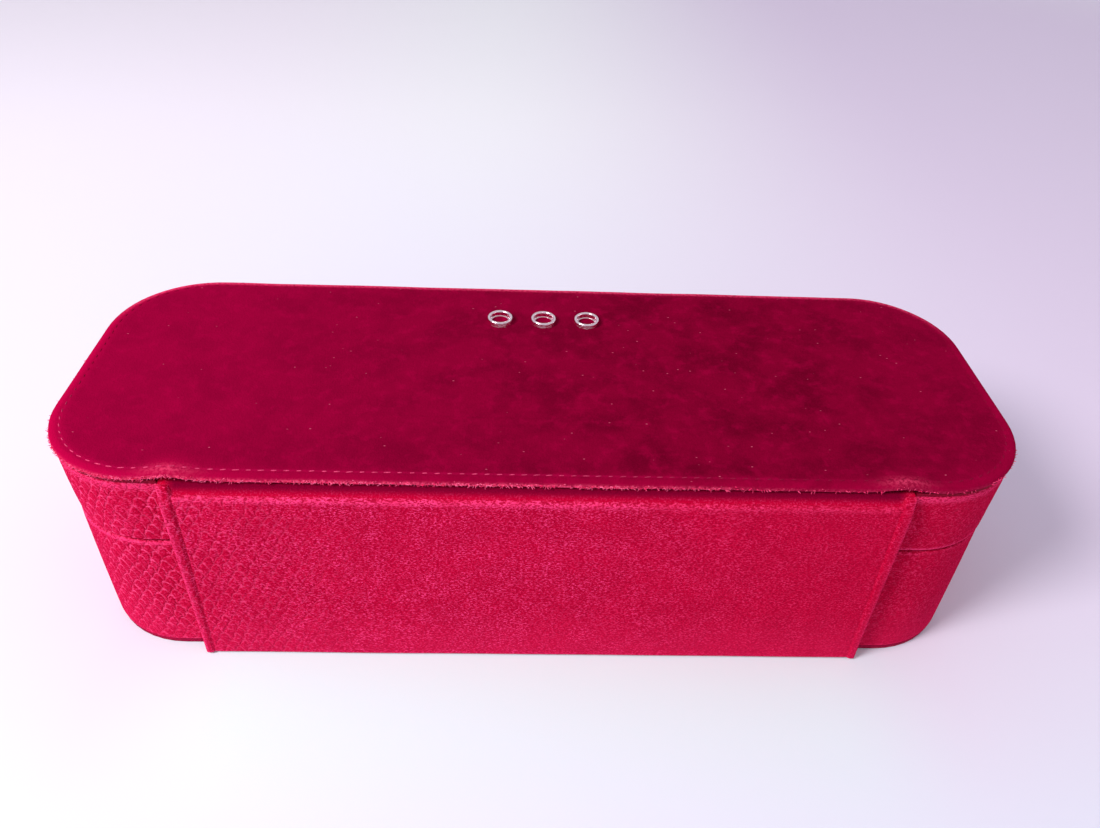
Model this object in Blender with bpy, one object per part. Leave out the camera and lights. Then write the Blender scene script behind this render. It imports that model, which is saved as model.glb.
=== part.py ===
"""A velvet covered jewelry box: a walled base, a lid hinged along the rear, and a stiff front flap hung from the lid.

Metres, +Z up. The origin is the centre of the underside; the flap side faces -Y and the length runs along X.
Pieces that touch on the real box are kept one GAP apart.
"""

import math

import bmesh
import bpy

# The outside of the box, seen from above: a rounded rectangle. Every inset below is measured in from it.
LENGTH = 0.280
DEPTH = 0.100
CORNER_RADIUS = 0.030
CORNER_STEPS = 10
GAP = 0.0003

# Heights of the stack, from the table up.
BOTTOM_PANEL_TOP = 0.0016
BASE_WALL_FOOT = 0.0019
BASE_BOARD_TOP = 0.0044
FLOOR_PAD_TOP = 0.0067
SEAM_LOW = 0.0464
SEAM_HIGH = 0.0468
LID_BOARD_LOW = 0.0671
LID_WALL_TOP = 0.0696
BACKING_TOP = 0.0707
TOP_PANEL_LOW = 0.0710
TOP_PANEL_TOP = 0.0730

# Insets of the walls and of what lines them.
BOTTOM_PANEL_INSET = 0.0016
WALL_OUTER_INSET = 0.0013
WALL_TOP_INSET = 0.0005
WALL_INNER_INSET = 0.0043
LINING_OUTER_INSET = 0.0046
LINING_INNER_INSET = 0.0058
PAD_INSET = 0.0061

# The lid's filling.
LID_PAD_LOW = 0.0640
LID_PAD_TOP = 0.0668
MIRROR_LENGTH = 0.190
MIRROR_DEPTH = 0.060
MIRROR_CORNER = 0.008
MIRROR_LOW = 0.0619
MIRROR_TOP = 0.0637

# The base's fittings: two dividers and the ring rolls between them.
DIVIDER_CENTRE = 0.046
DIVIDER_THICKNESS = 0.0024
DIVIDER_HALF_DEPTH = 0.0439
DIVIDER_LOW = 0.0070
DIVIDER_TOP = 0.0440
ROLL_COUNT = 5
ROLL_PITCH = 0.0168
ROLL_WIDTH = 0.0164
ROLL_LENGTH = 0.0880
ROLL_LOW = 0.0070
ROLL_TOP = 0.0340
ROLL_ARC_STEPS = 8
ROLL_FOOT_CHAMFER = 0.0030

# The front flap, a velvet tray round a board.
FLAP_HALF_WIDTH = 0.1025
FLAP_FRONT = -0.0524
FLAP_BACK = -0.0499
FLAP_LOW = 0.0005
FLAP_TOP = 0.0678
FLAP_SKIN = 0.0005
FLAP_RIM = 0.0006
FLAP_BOARD_THICKNESS = 0.0010
FLAP_LINING_THICKNESS = 0.0004
TONGUE_FRONT = -0.0497
TONGUE_REAR = -0.0380

# The closing magnets, in pairs across the wall.
MAGNET_X = 0.070
MAGNET_Z = 0.020
MAGNET_RADIUS = 0.0060
MAGNET_POCKET_RADIUS = 0.0063
BASE_MAGNET_THICKNESS = 0.0016
POCKET_DEPTH = 0.0020
ROUND_STEPS = 24

# The rear hinge strips.
STRIP_HALF_WIDTH = 0.1025
STRIP_THICKNESS = 0.0010

# The joint axes, both along X: the rear cloth hinge at the seam, and the cloth fold over the flap.
LID_AXIS = (0.0, DEPTH / 2, (SEAM_LOW + SEAM_HIGH) / 2)
FLAP_AXIS = (0.0, -DEPTH / 2, 0.0700)
LID_PIECES = (
    "lid_wall", "lid_board", "lid_lining", "lid_pad", "lid_mirror", "panel_backing", "flap_tongue",
    "top_panel", "ring_stud_left", "ring_stud_middle", "ring_stud_right", "hinge_strip_upper",
)
FLAP_PIECES = (
    "flap_cover", "flap_board", "flap_lining", "flap_magnet_left", "flap_magnet_right",
)

# The ring studs on the lid.
STUD_SPACING = 0.0145
STUD_CENTRE_X = 0.0010
STUD_Y = 0.0286
STUD_OUTER_RADIUS = 0.00415
STUD_INNER_RADIUS = 0.0030
STUD_LOW = 0.0733
STUD_TOP = 0.0748
STUD_SHOULDER = 0.0005
STUD_STEPS = 32
PRONG_RADIUS = 0.0006
PRONG_HOLE_RADIUS = 0.0009
PRONG_LOW = 0.0711
PRONG_BITE = 0.0004
PRONG_STEPS = 12

COLOURS = {
    "velvet_top": (0.300, 0.006, 0.036, 1.0),
    "velvet_embossed": (0.560, 0.012, 0.070, 1.0),
    "velvet_lining": (0.330, 0.010, 0.050, 1.0),
    "board": (0.420, 0.330, 0.240, 1.0),
    "paper_base": (0.110, 0.012, 0.026, 1.0),
    "magnet_steel": (0.560, 0.570, 0.580, 1.0),
    "mirror_glass": (0.860, 0.880, 0.890, 1.0),
    "polished_metal": (0.800, 0.800, 0.810, 1.0),
}
SHINE = {
    "magnet_steel": (1.0, 0.35),
    "mirror_glass": (1.0, 0.03),
    "polished_metal": (1.0, 0.08),
}
DULL = (0.0, 0.85)
SMOOTH_ANGLE = math.radians(30)


def clear_scene():
    for obj in list(bpy.data.objects):
        bpy.data.objects.remove(obj, do_unlink=True)


def material_for(node, look):
    """One Principled material for this node alone."""
    made = bpy.data.materials.new(f"{node}_{look}")
    made.use_nodes = True
    metallic, roughness = SHINE.get(look, DULL)
    shader = made.node_tree.nodes["Principled BSDF"]
    shader.inputs["Base Color"].default_value = COLOURS[look]
    shader.inputs["Metallic"].default_value = metallic
    shader.inputs["Roughness"].default_value = roughness
    made.diffuse_color = COLOURS[look]
    return made


def object_from(bm, name, look):
    """The bmesh as an object of this name, its faces turned outward."""
    bmesh.ops.recalc_face_normals(bm, faces=bm.faces)
    mesh = bpy.data.meshes.new(name)
    bm.to_mesh(mesh)
    bm.free()
    mesh.shade_smooth()
    mesh.set_sharp_from_angle(angle=SMOOTH_ANGLE)
    obj = bpy.data.objects.new(name, mesh)
    bpy.context.scene.collection.objects.link(obj)
    if look:
        mesh.materials.append(material_for(name, look))
    return obj


def rounded_outline(half_x, half_y, radius, steps=CORNER_STEPS):
    """Points round a rounded rectangle about the origin, anticlockwise."""
    points = []
    corners = ((1, 1, 0), (-1, 1, 1), (-1, -1, 2), (1, -1, 3))
    for side_x, side_y, quarter in corners:
        centre_x = side_x * (half_x - radius)
        centre_y = side_y * (half_y - radius)
        for step in range(steps + 1):
            angle = math.radians(90) * (quarter + step / steps)
            points.append((centre_x + radius * math.cos(angle), centre_y + radius * math.sin(angle)))
    return points


def box_outline(inset):
    """The box's own outline, moved in by the inset."""
    return rounded_outline(LENGTH / 2 - inset, DEPTH / 2 - inset, CORNER_RADIUS - inset)


def add_loop(bm, points, height):
    return [bm.verts.new((x, y, height)) for x, y in points]


def join_loops(bm, first, second):
    count = len(first)
    for i in range(count):
        after = (i + 1) % count
        bm.faces.new((first[i], first[after], second[after], second[i]))


def plate(name, look, outline, low, top):
    """A flat slab of this outline."""
    bm = bmesh.new()
    below = add_loop(bm, outline, low)
    above = add_loop(bm, outline, top)
    join_loops(bm, below, above)
    bm.faces.new(below)
    bm.faces.new(above)
    return object_from(bm, name, look)


def wall_ring(name, look, outer_low, outer_top, inner, low, top):
    """A wall right round the box, its outer face free to lean between two insets."""
    bm = bmesh.new()
    outside_low = add_loop(bm, box_outline(outer_low), low)
    outside_top = add_loop(bm, box_outline(outer_top), top)
    inside_low = add_loop(bm, box_outline(inner), low)
    inside_top = add_loop(bm, box_outline(inner), top)
    join_loops(bm, outside_low, outside_top)
    join_loops(bm, outside_top, inside_top)
    join_loops(bm, inside_top, inside_low)
    join_loops(bm, inside_low, outside_low)
    return object_from(bm, name, look)


def bar(name, look, profile, start_x, end_x):
    """A (y, z) profile carried along X."""
    bm = bmesh.new()
    left = [bm.verts.new((start_x, y, z)) for y, z in profile]
    right = [bm.verts.new((end_x, y, z)) for y, z in profile]
    join_loops(bm, left, right)
    bm.faces.new(left)
    bm.faces.new(right)
    return object_from(bm, name, look)


def block(name, look, low, high):
    """A box between two opposite corners."""
    profile = [(low[1], low[2]), (high[1], low[2]), (high[1], high[2]), (low[1], high[2])]
    return bar(name, look, profile, low[0], high[0])


def disc(name, look, centre, radius, thickness, axis, steps=ROUND_STEPS):
    """A round slab about the centre, its axis along Y or Z."""
    bm = bmesh.new()
    rims = []
    for side in (-0.5, 0.5):
        rim = []
        for step in range(steps):
            angle = math.tau * step / steps
            across = radius * math.cos(angle)
            up = radius * math.sin(angle)
            along = side * thickness
            offset = (across, along, up) if axis == "Y" else (across, up, along)
            rim.append(bm.verts.new([c + d for c, d in zip(centre, offset)]))
        rims.append(rim)
    join_loops(bm, rims[0], rims[1])
    bm.faces.new(rims[0])
    bm.faces.new(rims[1])
    return object_from(bm, name, look)


def combine(obj, tool, operation):
    """Applies a Boolean with the tool, then removes the tool."""
    modifier = obj.modifiers.new(operation.title(), "BOOLEAN")
    modifier.operation = operation
    modifier.solver = "EXACT"
    modifier.object = tool
    bpy.context.view_layer.update()
    graph = bpy.context.evaluated_depsgraph_get()
    shaped = bpy.data.meshes.new_from_object(obj.evaluated_get(graph), depsgraph=graph)
    obj.modifiers.remove(modifier)
    obj.data = shaped
    bpy.data.objects.remove(tool, do_unlink=True)


def make_base():
    """The bottom panel, the board and the wall with its two magnet pockets."""
    plate("bottom_panel", "paper_base", box_outline(BOTTOM_PANEL_INSET), 0.0, BOTTOM_PANEL_TOP)
    plate("base_board", "board", box_outline(LINING_OUTER_INSET), BASE_WALL_FOOT, BASE_BOARD_TOP)
    wall = wall_ring(
        "base_wall", "velvet_embossed",
        WALL_OUTER_INSET, WALL_OUTER_INSET, WALL_INNER_INSET, BASE_WALL_FOOT, SEAM_LOW,
    )
    inner_face = -DEPTH / 2 + WALL_INNER_INSET
    pocket_end = inner_face - POCKET_DEPTH
    pocket_mouth = inner_face + POCKET_DEPTH
    for side in (-1, 1):
        centre = (side * MAGNET_X, (pocket_end + pocket_mouth) / 2, MAGNET_Z)
        cutter = disc(
            "pocket_cutter", None, centre, MAGNET_POCKET_RADIUS, pocket_mouth - pocket_end, "Y"
        )
        combine(wall, cutter, "DIFFERENCE")
    magnet_y = pocket_end + GAP + BASE_MAGNET_THICKNESS / 2
    for side, word in ((-1, "left"), (1, "right")):
        disc(
            f"base_magnet_{word}", "magnet_steel",
            (side * MAGNET_X, magnet_y, MAGNET_Z), MAGNET_RADIUS, BASE_MAGNET_THICKNESS, "Y",
        )


def make_base_fittings():
    """The lining, the floor pad, the dividers and the ring rolls."""
    wall_ring(
        "base_lining", "velvet_lining",
        LINING_OUTER_INSET, LINING_OUTER_INSET, LINING_INNER_INSET, BASE_BOARD_TOP + GAP, SEAM_LOW,
    )
    plate("floor_pad", "velvet_lining", box_outline(PAD_INSET), BASE_BOARD_TOP + GAP, FLOOR_PAD_TOP)
    for side, word in ((-1, "left"), (1, "right")):
        middle = side * DIVIDER_CENTRE
        block(
            f"divider_{word}", "velvet_lining",
            (middle - DIVIDER_THICKNESS / 2, -DIVIDER_HALF_DEPTH, DIVIDER_LOW),
            (middle + DIVIDER_THICKNESS / 2, DIVIDER_HALF_DEPTH, DIVIDER_TOP),
        )
    for number in range(ROLL_COUNT):
        middle = (number - (ROLL_COUNT - 1) / 2) * ROLL_PITCH
        name = f"ring_roll_{number + 1}"
        bar(name, "velvet_lining", roll_profile(middle), -ROLL_LENGTH / 2, ROLL_LENGTH / 2)


def roll_profile(middle):
    """A flat-sided bolster with a half-round top and a chamfered foot."""
    radius = ROLL_WIDTH / 2
    crown = ROLL_TOP - radius
    points = []
    for step in range(ROLL_ARC_STEPS + 1):
        angle = math.pi * step / ROLL_ARC_STEPS
        points.append((middle + radius * math.cos(angle), crown + radius * math.sin(angle)))
    points.append((middle - radius, ROLL_LOW + ROLL_FOOT_CHAMFER))
    points.append((middle - radius + ROLL_FOOT_CHAMFER, ROLL_LOW))
    points.append((middle + radius - ROLL_FOOT_CHAMFER, ROLL_LOW))
    points.append((middle + radius, ROLL_LOW + ROLL_FOOT_CHAMFER))
    return points


def make_lid():
    """The lid's wall and board, its lining, pad and mirror, and the panel backing."""
    wall_ring(
        "lid_wall", "velvet_embossed",
        WALL_OUTER_INSET, WALL_TOP_INSET, WALL_INNER_INSET, SEAM_HIGH, LID_WALL_TOP,
    )
    plate("lid_board", "board", box_outline(LINING_OUTER_INSET), LID_BOARD_LOW, LID_WALL_TOP)
    wall_ring(
        "lid_lining", "velvet_lining",
        LINING_OUTER_INSET, LINING_OUTER_INSET, LINING_INNER_INSET, SEAM_HIGH, LID_PAD_TOP,
    )
    plate("lid_pad", "velvet_lining", box_outline(PAD_INSET), LID_PAD_LOW, LID_PAD_TOP)
    outline = rounded_outline(MIRROR_LENGTH / 2, MIRROR_DEPTH / 2, MIRROR_CORNER)
    plate("lid_mirror", "mirror_glass", outline, MIRROR_LOW, MIRROR_TOP)
    backing = plate(
        "panel_backing", "board", box_outline(WALL_TOP_INSET), LID_WALL_TOP + GAP, BACKING_TOP
    )
    notch = block(
        "notch_cutter", None,
        (-FLAP_HALF_WIDTH - GAP, -DEPTH, LID_WALL_TOP),
        (FLAP_HALF_WIDTH + GAP, TONGUE_REAR + GAP, TOP_PANEL_TOP),
    )
    combine(backing, notch, "DIFFERENCE")


def stud_places():
    for offset, word in ((-1, "left"), (0, "middle"), (1, "right")):
        yield word, STUD_CENTRE_X + offset * STUD_SPACING


def prong_places(stud_x):
    middle_radius = (STUD_OUTER_RADIUS + STUD_INNER_RADIUS) / 2
    return (stud_x - middle_radius, stud_x + middle_radius)


def make_top_panel():
    """The sewn panel on top, drilled for the studs' prongs."""
    panel = plate("top_panel", "velvet_top", box_outline(0.0), TOP_PANEL_LOW, TOP_PANEL_TOP)
    thickness = TOP_PANEL_TOP - TOP_PANEL_LOW
    for _, stud_x in stud_places():
        for prong_x in prong_places(stud_x):
            centre = (prong_x, STUD_Y, (TOP_PANEL_LOW + TOP_PANEL_TOP) / 2)
            cutter = disc(
                "prong_cutter", None, centre, PRONG_HOLE_RADIUS, 2 * thickness, "Z", PRONG_STEPS
            )
            combine(panel, cutter, "DIFFERENCE")


def stud_ring(name, stud_x):
    """A ring of rounded section standing over the panel."""
    section = [
        (STUD_INNER_RADIUS, STUD_LOW),
        (STUD_OUTER_RADIUS, STUD_LOW),
        (STUD_OUTER_RADIUS, STUD_TOP - STUD_SHOULDER),
        (STUD_OUTER_RADIUS - STUD_SHOULDER / 2, STUD_TOP - STUD_SHOULDER / 4),
        ((STUD_OUTER_RADIUS + STUD_INNER_RADIUS) / 2, STUD_TOP),
        (STUD_INNER_RADIUS + STUD_SHOULDER / 2, STUD_TOP - STUD_SHOULDER / 4),
        (STUD_INNER_RADIUS, STUD_TOP - STUD_SHOULDER),
    ]
    bm = bmesh.new()
    loops = []
    for step in range(STUD_STEPS):
        angle = math.tau * step / STUD_STEPS
        loops.append([
            bm.verts.new((stud_x + r * math.cos(angle), STUD_Y + r * math.sin(angle), z))
            for r, z in section
        ])
    for step in range(STUD_STEPS):
        join_loops(bm, loops[step], loops[(step + 1) % STUD_STEPS])
    return object_from(bm, name, "polished_metal")


def make_studs():
    """Three ring studs, each with two prongs into the panel."""
    for word, stud_x in stud_places():
        ring = stud_ring(f"ring_stud_{word}", stud_x)
        length = STUD_LOW + PRONG_BITE - PRONG_LOW
        for prong_x in prong_places(stud_x):
            centre = (prong_x, STUD_Y, PRONG_LOW + length / 2)
            prong = disc("prong", None, centre, PRONG_RADIUS, length, "Z", PRONG_STEPS)
            combine(ring, prong, "UNION")


def make_hinge_strips():
    """The two leaves of the rear velvet hinge, one on each wall."""
    seam_y = DEPTH / 2 - WALL_OUTER_INSET + GAP
    top_y = DEPTH / 2 - WALL_TOP_INSET + GAP
    bar(
        "hinge_strip_lower", "velvet_embossed",
        [
            (seam_y, BASE_WALL_FOOT),
            (seam_y + STRIP_THICKNESS, BASE_WALL_FOOT),
            (seam_y + STRIP_THICKNESS, SEAM_LOW),
            (seam_y, SEAM_LOW),
        ],
        -STRIP_HALF_WIDTH, STRIP_HALF_WIDTH,
    )
    bar(
        "hinge_strip_upper", "velvet_embossed",
        [
            (seam_y, SEAM_HIGH),
            (seam_y + STRIP_THICKNESS, SEAM_HIGH),
            (top_y + STRIP_THICKNESS, LID_WALL_TOP),
            (top_y, LID_WALL_TOP),
        ],
        -STRIP_HALF_WIDTH, STRIP_HALF_WIDTH,
    )


def make_flap():
    """The flap's velvet tray, its board with the magnets, its back skin and the tongue glued into the lid."""
    cover = block(
        "flap_cover", "velvet_embossed",
        (-FLAP_HALF_WIDTH, FLAP_FRONT, FLAP_LOW),
        (FLAP_HALF_WIDTH, FLAP_BACK, FLAP_TOP),
    )
    inside_x = FLAP_HALF_WIDTH - FLAP_RIM
    hollow = block(
        "hollow_cutter", None,
        (-inside_x, FLAP_FRONT + FLAP_SKIN, FLAP_LOW + FLAP_RIM),
        (inside_x, 0.0, FLAP_TOP - FLAP_RIM),
    )
    combine(cover, hollow, "DIFFERENCE")

    core_x = inside_x - GAP
    core_low = FLAP_LOW + FLAP_RIM + GAP
    core_top = FLAP_TOP - FLAP_RIM - GAP
    board_front = FLAP_FRONT + FLAP_SKIN + GAP
    board_back = board_front + FLAP_BOARD_THICKNESS
    board = block("flap_board", "board", (-core_x, board_front, core_low), (core_x, board_back, core_top))
    board_middle = (board_front + board_back) / 2
    for side, word in ((-1, "left"), (1, "right")):
        centre = (side * MAGNET_X, board_middle, MAGNET_Z)
        hole = disc("hole_cutter", None, centre, MAGNET_POCKET_RADIUS, 2 * FLAP_BOARD_THICKNESS, "Y")
        combine(board, hole, "DIFFERENCE")
        disc(
            f"flap_magnet_{word}", "magnet_steel", centre, MAGNET_RADIUS, FLAP_BOARD_THICKNESS, "Y"
        )
    block(
        "flap_lining", "velvet_lining",
        (-core_x, FLAP_BACK - FLAP_LINING_THICKNESS, core_low),
        (core_x, FLAP_BACK, core_top),
    )
    block(
        "flap_tongue", "velvet_embossed",
        (-FLAP_HALF_WIDTH, TONGUE_FRONT, LID_WALL_TOP + GAP),
        (FLAP_HALF_WIDTH, TONGUE_REAR, BACKING_TOP),
    )


def pivot(name, place):
    """An empty on a joint's axis."""
    empty = bpy.data.objects.new(name, None)
    empty.location = place
    bpy.context.scene.collection.objects.link(empty)
    return empty


def hang_on_pivots():
    """Parents each moving piece to the empty on its own joint's axis, left where it was built."""
    lid_pivot = pivot("lid_pivot", LID_AXIS)
    flap_pivot = pivot("flap_pivot", [f - l for f, l in zip(FLAP_AXIS, LID_AXIS)])
    flap_pivot.parent = lid_pivot
    for names, axis, empty in ((LID_PIECES, LID_AXIS, lid_pivot), (FLAP_PIECES, FLAP_AXIS, flap_pivot)):
        for name in names:
            obj = bpy.data.objects[name]
            obj.parent = empty
            obj.location = [-c for c in axis]


def main():
    clear_scene()
    make_base()
    make_base_fittings()
    make_lid()
    make_top_panel()
    make_studs()
    make_hinge_strips()
    make_flap()
    hang_on_pivots()


main()
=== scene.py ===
"""The looks of a velvet jewelry box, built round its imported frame.

Metres, +Z up, in the frame's own axes: the front flap faces -Y and the length runs along X.
"""

import math
import random

import bmesh
import bpy
from bpy.props import FloatProperty, FloatVectorProperty, IntProperty, PointerProperty
from mathutils import Matrix, Vector, noise


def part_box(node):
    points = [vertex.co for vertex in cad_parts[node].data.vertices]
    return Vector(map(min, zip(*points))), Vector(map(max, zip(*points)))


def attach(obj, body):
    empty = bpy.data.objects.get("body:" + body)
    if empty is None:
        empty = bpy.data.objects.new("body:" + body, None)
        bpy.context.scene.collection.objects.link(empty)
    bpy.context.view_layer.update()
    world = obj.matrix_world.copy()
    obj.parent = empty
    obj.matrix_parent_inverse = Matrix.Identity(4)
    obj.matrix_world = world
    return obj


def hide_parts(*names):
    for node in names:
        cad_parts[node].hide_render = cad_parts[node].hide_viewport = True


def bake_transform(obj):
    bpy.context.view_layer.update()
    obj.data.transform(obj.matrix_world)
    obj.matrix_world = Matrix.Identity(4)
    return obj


bl_info = {
    "name": "Velvet Jewelry Box",
    "version": (1, 0, 0),
    "blender": (4, 5, 0),
    "location": "3D View > Sidebar > Velvet Box",
    "description": "Dresses a packed jewelry box in velvet, stitching, padding and trim",
    "category": "Object",
}

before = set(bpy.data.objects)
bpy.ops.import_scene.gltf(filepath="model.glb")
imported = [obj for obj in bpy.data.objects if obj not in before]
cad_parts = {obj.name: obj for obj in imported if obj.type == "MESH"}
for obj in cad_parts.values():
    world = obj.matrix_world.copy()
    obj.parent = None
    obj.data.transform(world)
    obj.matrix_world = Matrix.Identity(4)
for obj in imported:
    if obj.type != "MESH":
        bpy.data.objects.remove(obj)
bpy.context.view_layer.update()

MM = 0.001
PANEL_LOW, PANEL_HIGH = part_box("top_panel")
HALF_LENGTH = PANEL_HIGH.x
HALF_DEPTH = PANEL_HIGH.y
CORNER = 30 * MM
FLAP_LOW, FLAP_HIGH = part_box("flap_cover")
BASE_LOW, BASE_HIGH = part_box("base_wall")
LID_LOW, LID_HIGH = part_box("lid_wall")
SEAM = (BASE_HIGH.z + LID_LOW.z) / 2
CLOTH_MAP = "cloth"
CORE_X, CORE_Y = HALF_LENGTH - CORNER, HALF_DEPTH - CORNER
QUARTER = CORNER * math.pi / 2
FLAP_CLOTH_START, REAR_CLOTH_START = 0.9, 1.9
HEM_MIDDLE = FLAP_HIGH.x - 3.0 * MM
FLAP_RISE = 2.4 * MM

# Painted highlights on the nap's rolled rim, stitch groove and lip, and from the floor's bounce; painted
# shade in the fold; the nap's own cut, pressed and rubbed shades; and the finishes of the harder pieces.
RIM_HIGHLIGHT = (0.52, 0.0012, 0.055, 1)
LIP_PILE_AND_HIGHLIGHT = (1.0, 0.075, 0.20, 1)
GROOVE_HIGHLIGHT = (0.50, 0.004, 0.07, 1)
CREST_NAP = (1.0, 0.085, 0.245, 1)
FLOOR_BOUNCE_HIGHLIGHT = (0.90, 0.02, 0.12, 1)
FOLD_PAINTED_SHADE = (0.19, 0.0005, 0.021, 1)
LINT = (0.85, 0.16, 0.28, 1)
PILE = ((0.80, 0.012, 0.11, 1), (1.0, 0.155, 0.33, 1))
PLATING = ((1.0, 0.88, 0.91, 1), (0.90, 0.70, 0.76, 1))
DULL_PLATING = ((0.60, 0.61, 0.62, 1), (0.50, 0.50, 0.52, 1))
SILVERING = ((0.88, 0.90, 0.91, 1), (0.84, 0.86, 0.87, 1))
GREY_BOARD = ((0.46, 0.37, 0.28, 1), (0.34, 0.26, 0.19, 1))
PANEL_PAPER = ((0.26, 0.0006, 0.022, 1), (0.20, 0.0005, 0.016, 1))
BASE_PAPER = ((0.38, 0.002, 0.045, 1), (0.28, 0.0015, 0.034, 1))
FLOOR_REAR = ((0.98, 0.93, 1.0, 1), (0.97, 0.98, 1.0, 1))
FLOOR_FAR = (0.96, 0.95, 1.0, 1)

# The camera and the light.
AZIMUTH, DOWN, ROLL = math.radians(2.89), math.radians(38.82), math.radians(2.97)
LENS, SENSOR = 29.09, 36
CAMERA_PLACE = (-7.87 * MM, -223.54 * MM, 236.39 * MM)
KEY_PLACE, KEY_SIZE, KEY_POWER, KEY_COLOUR = (-0.66, -0.41, 0.78), 0.36, 9.6, (1.0, 0.94, 0.97)
ROOM_COLOUR, ROOM_LIGHT = (0.94, 0.93, 1.0, 1), 0.615


class VelvetBoxSizes(bpy.types.PropertyGroup):
    """Sizes a maker would change."""

    stitch_pitch: FloatProperty(
        name="Stitch pitch", description="Distance from one stitch to the next", default=3.35 * MM,
        unit="LENGTH",
    )
    stitch_length: FloatProperty(
        name="Stitch length", description="Visible length of one stitch", default=1.9 * MM, unit="LENGTH"
    )
    stitch_inset: FloatProperty(
        name="Stitch inset", description="Distance of the stitches from the panel's edge", default=3.0 * MM,
        unit="LENGTH",
    )
    thread: FloatProperty(
        name="Thread", description="Thickness of the thread", default=0.34 * MM, unit="LENGTH"
    )
    scale_width: FloatProperty(
        name="Scale width", description="Width of one embossed scale", default=3.6 * MM, unit="LENGTH"
    )
    scale_height: FloatProperty(
        name="Scale height", description="Height of one embossed scale", default=3.2 * MM, unit="LENGTH"
    )
    emboss_depth: FloatProperty(
        name="Emboss depth", description="How far a scale stands over its edges", default=0.14 * MM,
        unit="LENGTH",
    )
    hem_width: FloatProperty(
        name="Hem width", description="Width of the flap's end hems", default=3.4 * MM, unit="LENGTH"
    )
    hem_rise: FloatProperty(
        name="Hem rise", description="How far a hem stands over the flap", default=0.5 * MM, unit="LENGTH"
    )
    panel_lift: FloatProperty(
        name="Panel lift", description="How far the flap's hems lift the panel's edge", default=1.2 * MM,
        unit="LENGTH",
    )
    tuft_pitch: FloatProperty(
        name="Tuft pitch", description="Distance between the tufts on the panel's edge", default=0.20 * MM,
        unit="LENGTH",
    )
    seed: IntProperty(name="Seed", description="Start of the random draws", default=7)


class VelvetBoxColours(bpy.types.PropertyGroup):
    """Colours a maker would change."""

    panel: FloatVectorProperty(
        name="Panel", description="Deep velvet of the top panel", subtype="COLOR", size=4,
        default=(0.196, 0.0005, 0.021, 1),
    )
    # Panel light colours the brushed strokes, and also the painted light towards the left and the lighter
    # right end.
    panel_light: FloatVectorProperty(
        name="Panel light", description="Brushed up nap of the top panel", subtype="COLOR", size=4,
        default=(0.350, 0.0008, 0.042, 1),
    )
    wall: FloatVectorProperty(
        name="Wall", description="Embossed velvet of the walls and flap", subtype="COLOR", size=4,
        default=(0.560, 0.0010, 0.032, 1),
    )
    # Wall light is the colour of the embossed velvet's painted glints and painted edge highlights; its
    # pressed lines take their own colour.
    wall_highlight: FloatVectorProperty(
        name="Wall light", description="Pale pressed lines of the embossed velvet", subtype="COLOR", size=4,
        default=(1.0, 0.052, 0.205, 1),
    )
    lining: FloatVectorProperty(
        name="Lining", description="Plain velvet inside the box", subtype="COLOR", size=4,
        default=(0.300, 0.004, 0.040, 1),
    )
    # The thread's colour where its painted highlight is full; elsewhere the thread takes the panel's
    # crimson.
    thread: FloatVectorProperty(
        name="Thread", description="Sewing thread", subtype="COLOR", size=4,
        default=(0.940, 0.090, 0.250, 1),
    )
    floor: FloatVectorProperty(
        name="Floor", description="Pale floor under the box", subtype="COLOR", size=4,
        default=(0.800, 0.795, 0.900, 1),
    )


# ---------------------------------------------------------------- outlines


def outward(x, y):
    """The direction straight out of the box's rounded outline at a point near it."""
    away = Vector((x - max(-CORE_X, min(CORE_X, x)), y - max(-CORE_Y, min(CORE_Y, y)), 0))
    return away.normalized()


def inset_of(co):
    """How far a point is inside the box's outline."""
    across, deep = abs(co.x) - CORE_X, abs(co.y) - CORE_Y
    if across > 0 and deep > 0:
        return CORNER - math.hypot(across, deep)
    return CORNER - max(across, deep)


def outline_length(inset):
    return 4 * CORE_X + 4 * CORE_Y + math.tau * (CORNER - inset)


def outline_point(distance, inset):
    """(place, outward direction) at a distance round, anticlockwise from the middle of the right end."""
    radius = CORNER - inset
    arc = radius * math.pi / 2
    stretches = (
        (CORE_Y, (CORE_X + radius, 0), 90), (arc, (CORE_X, CORE_Y), 0),
        (2 * CORE_X, (CORE_X, CORE_Y + radius), 180), (arc, (-CORE_X, CORE_Y), 90),
        (2 * CORE_Y, (-CORE_X - radius, CORE_Y), 270), (arc, (-CORE_X, -CORE_Y), 180),
        (2 * CORE_X, (-CORE_X, -CORE_Y - radius), 0), (arc, (CORE_X, -CORE_Y), 270),
        (CORE_Y, (CORE_X + radius, -CORE_Y), 90),
    )
    left = distance % outline_length(inset)
    for number, (length, start, degrees) in enumerate(stretches):
        if left > length:
            left -= length
            continue
        angle = math.radians(degrees)
        if number % 2:
            angle += left / radius
            away = Vector((math.cos(angle), math.sin(angle)))
            return Vector(start) + away * radius, away
        along = Vector((math.cos(angle), math.sin(angle)))
        return Vector(start) + along * left, Vector((along.y, -along.x))
    return Vector(stretches[0][1]), Vector((1, 0))


def distance_round(x, y):
    """How far round the outline a wall point is, from the middle of the rear, for the cloth's own map."""
    side = 1 if x >= 0 else -1
    across = abs(x)
    if across <= CORE_X and y > 0:
        return side * across
    if across <= CORE_X:
        return side * (CORE_X + QUARTER + 2 * CORE_Y + QUARTER + CORE_X - across)
    if abs(y) <= CORE_Y:
        return side * (CORE_X + QUARTER + CORE_Y - y)
    if y > 0:
        return side * (CORE_X + CORNER * (math.pi / 2 - math.atan2(y - CORE_Y, across - CORE_X)))
    return side * (CORE_X + QUARTER + 2 * CORE_Y + CORNER * math.atan2(-CORE_Y - y, across - CORE_X))


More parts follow.
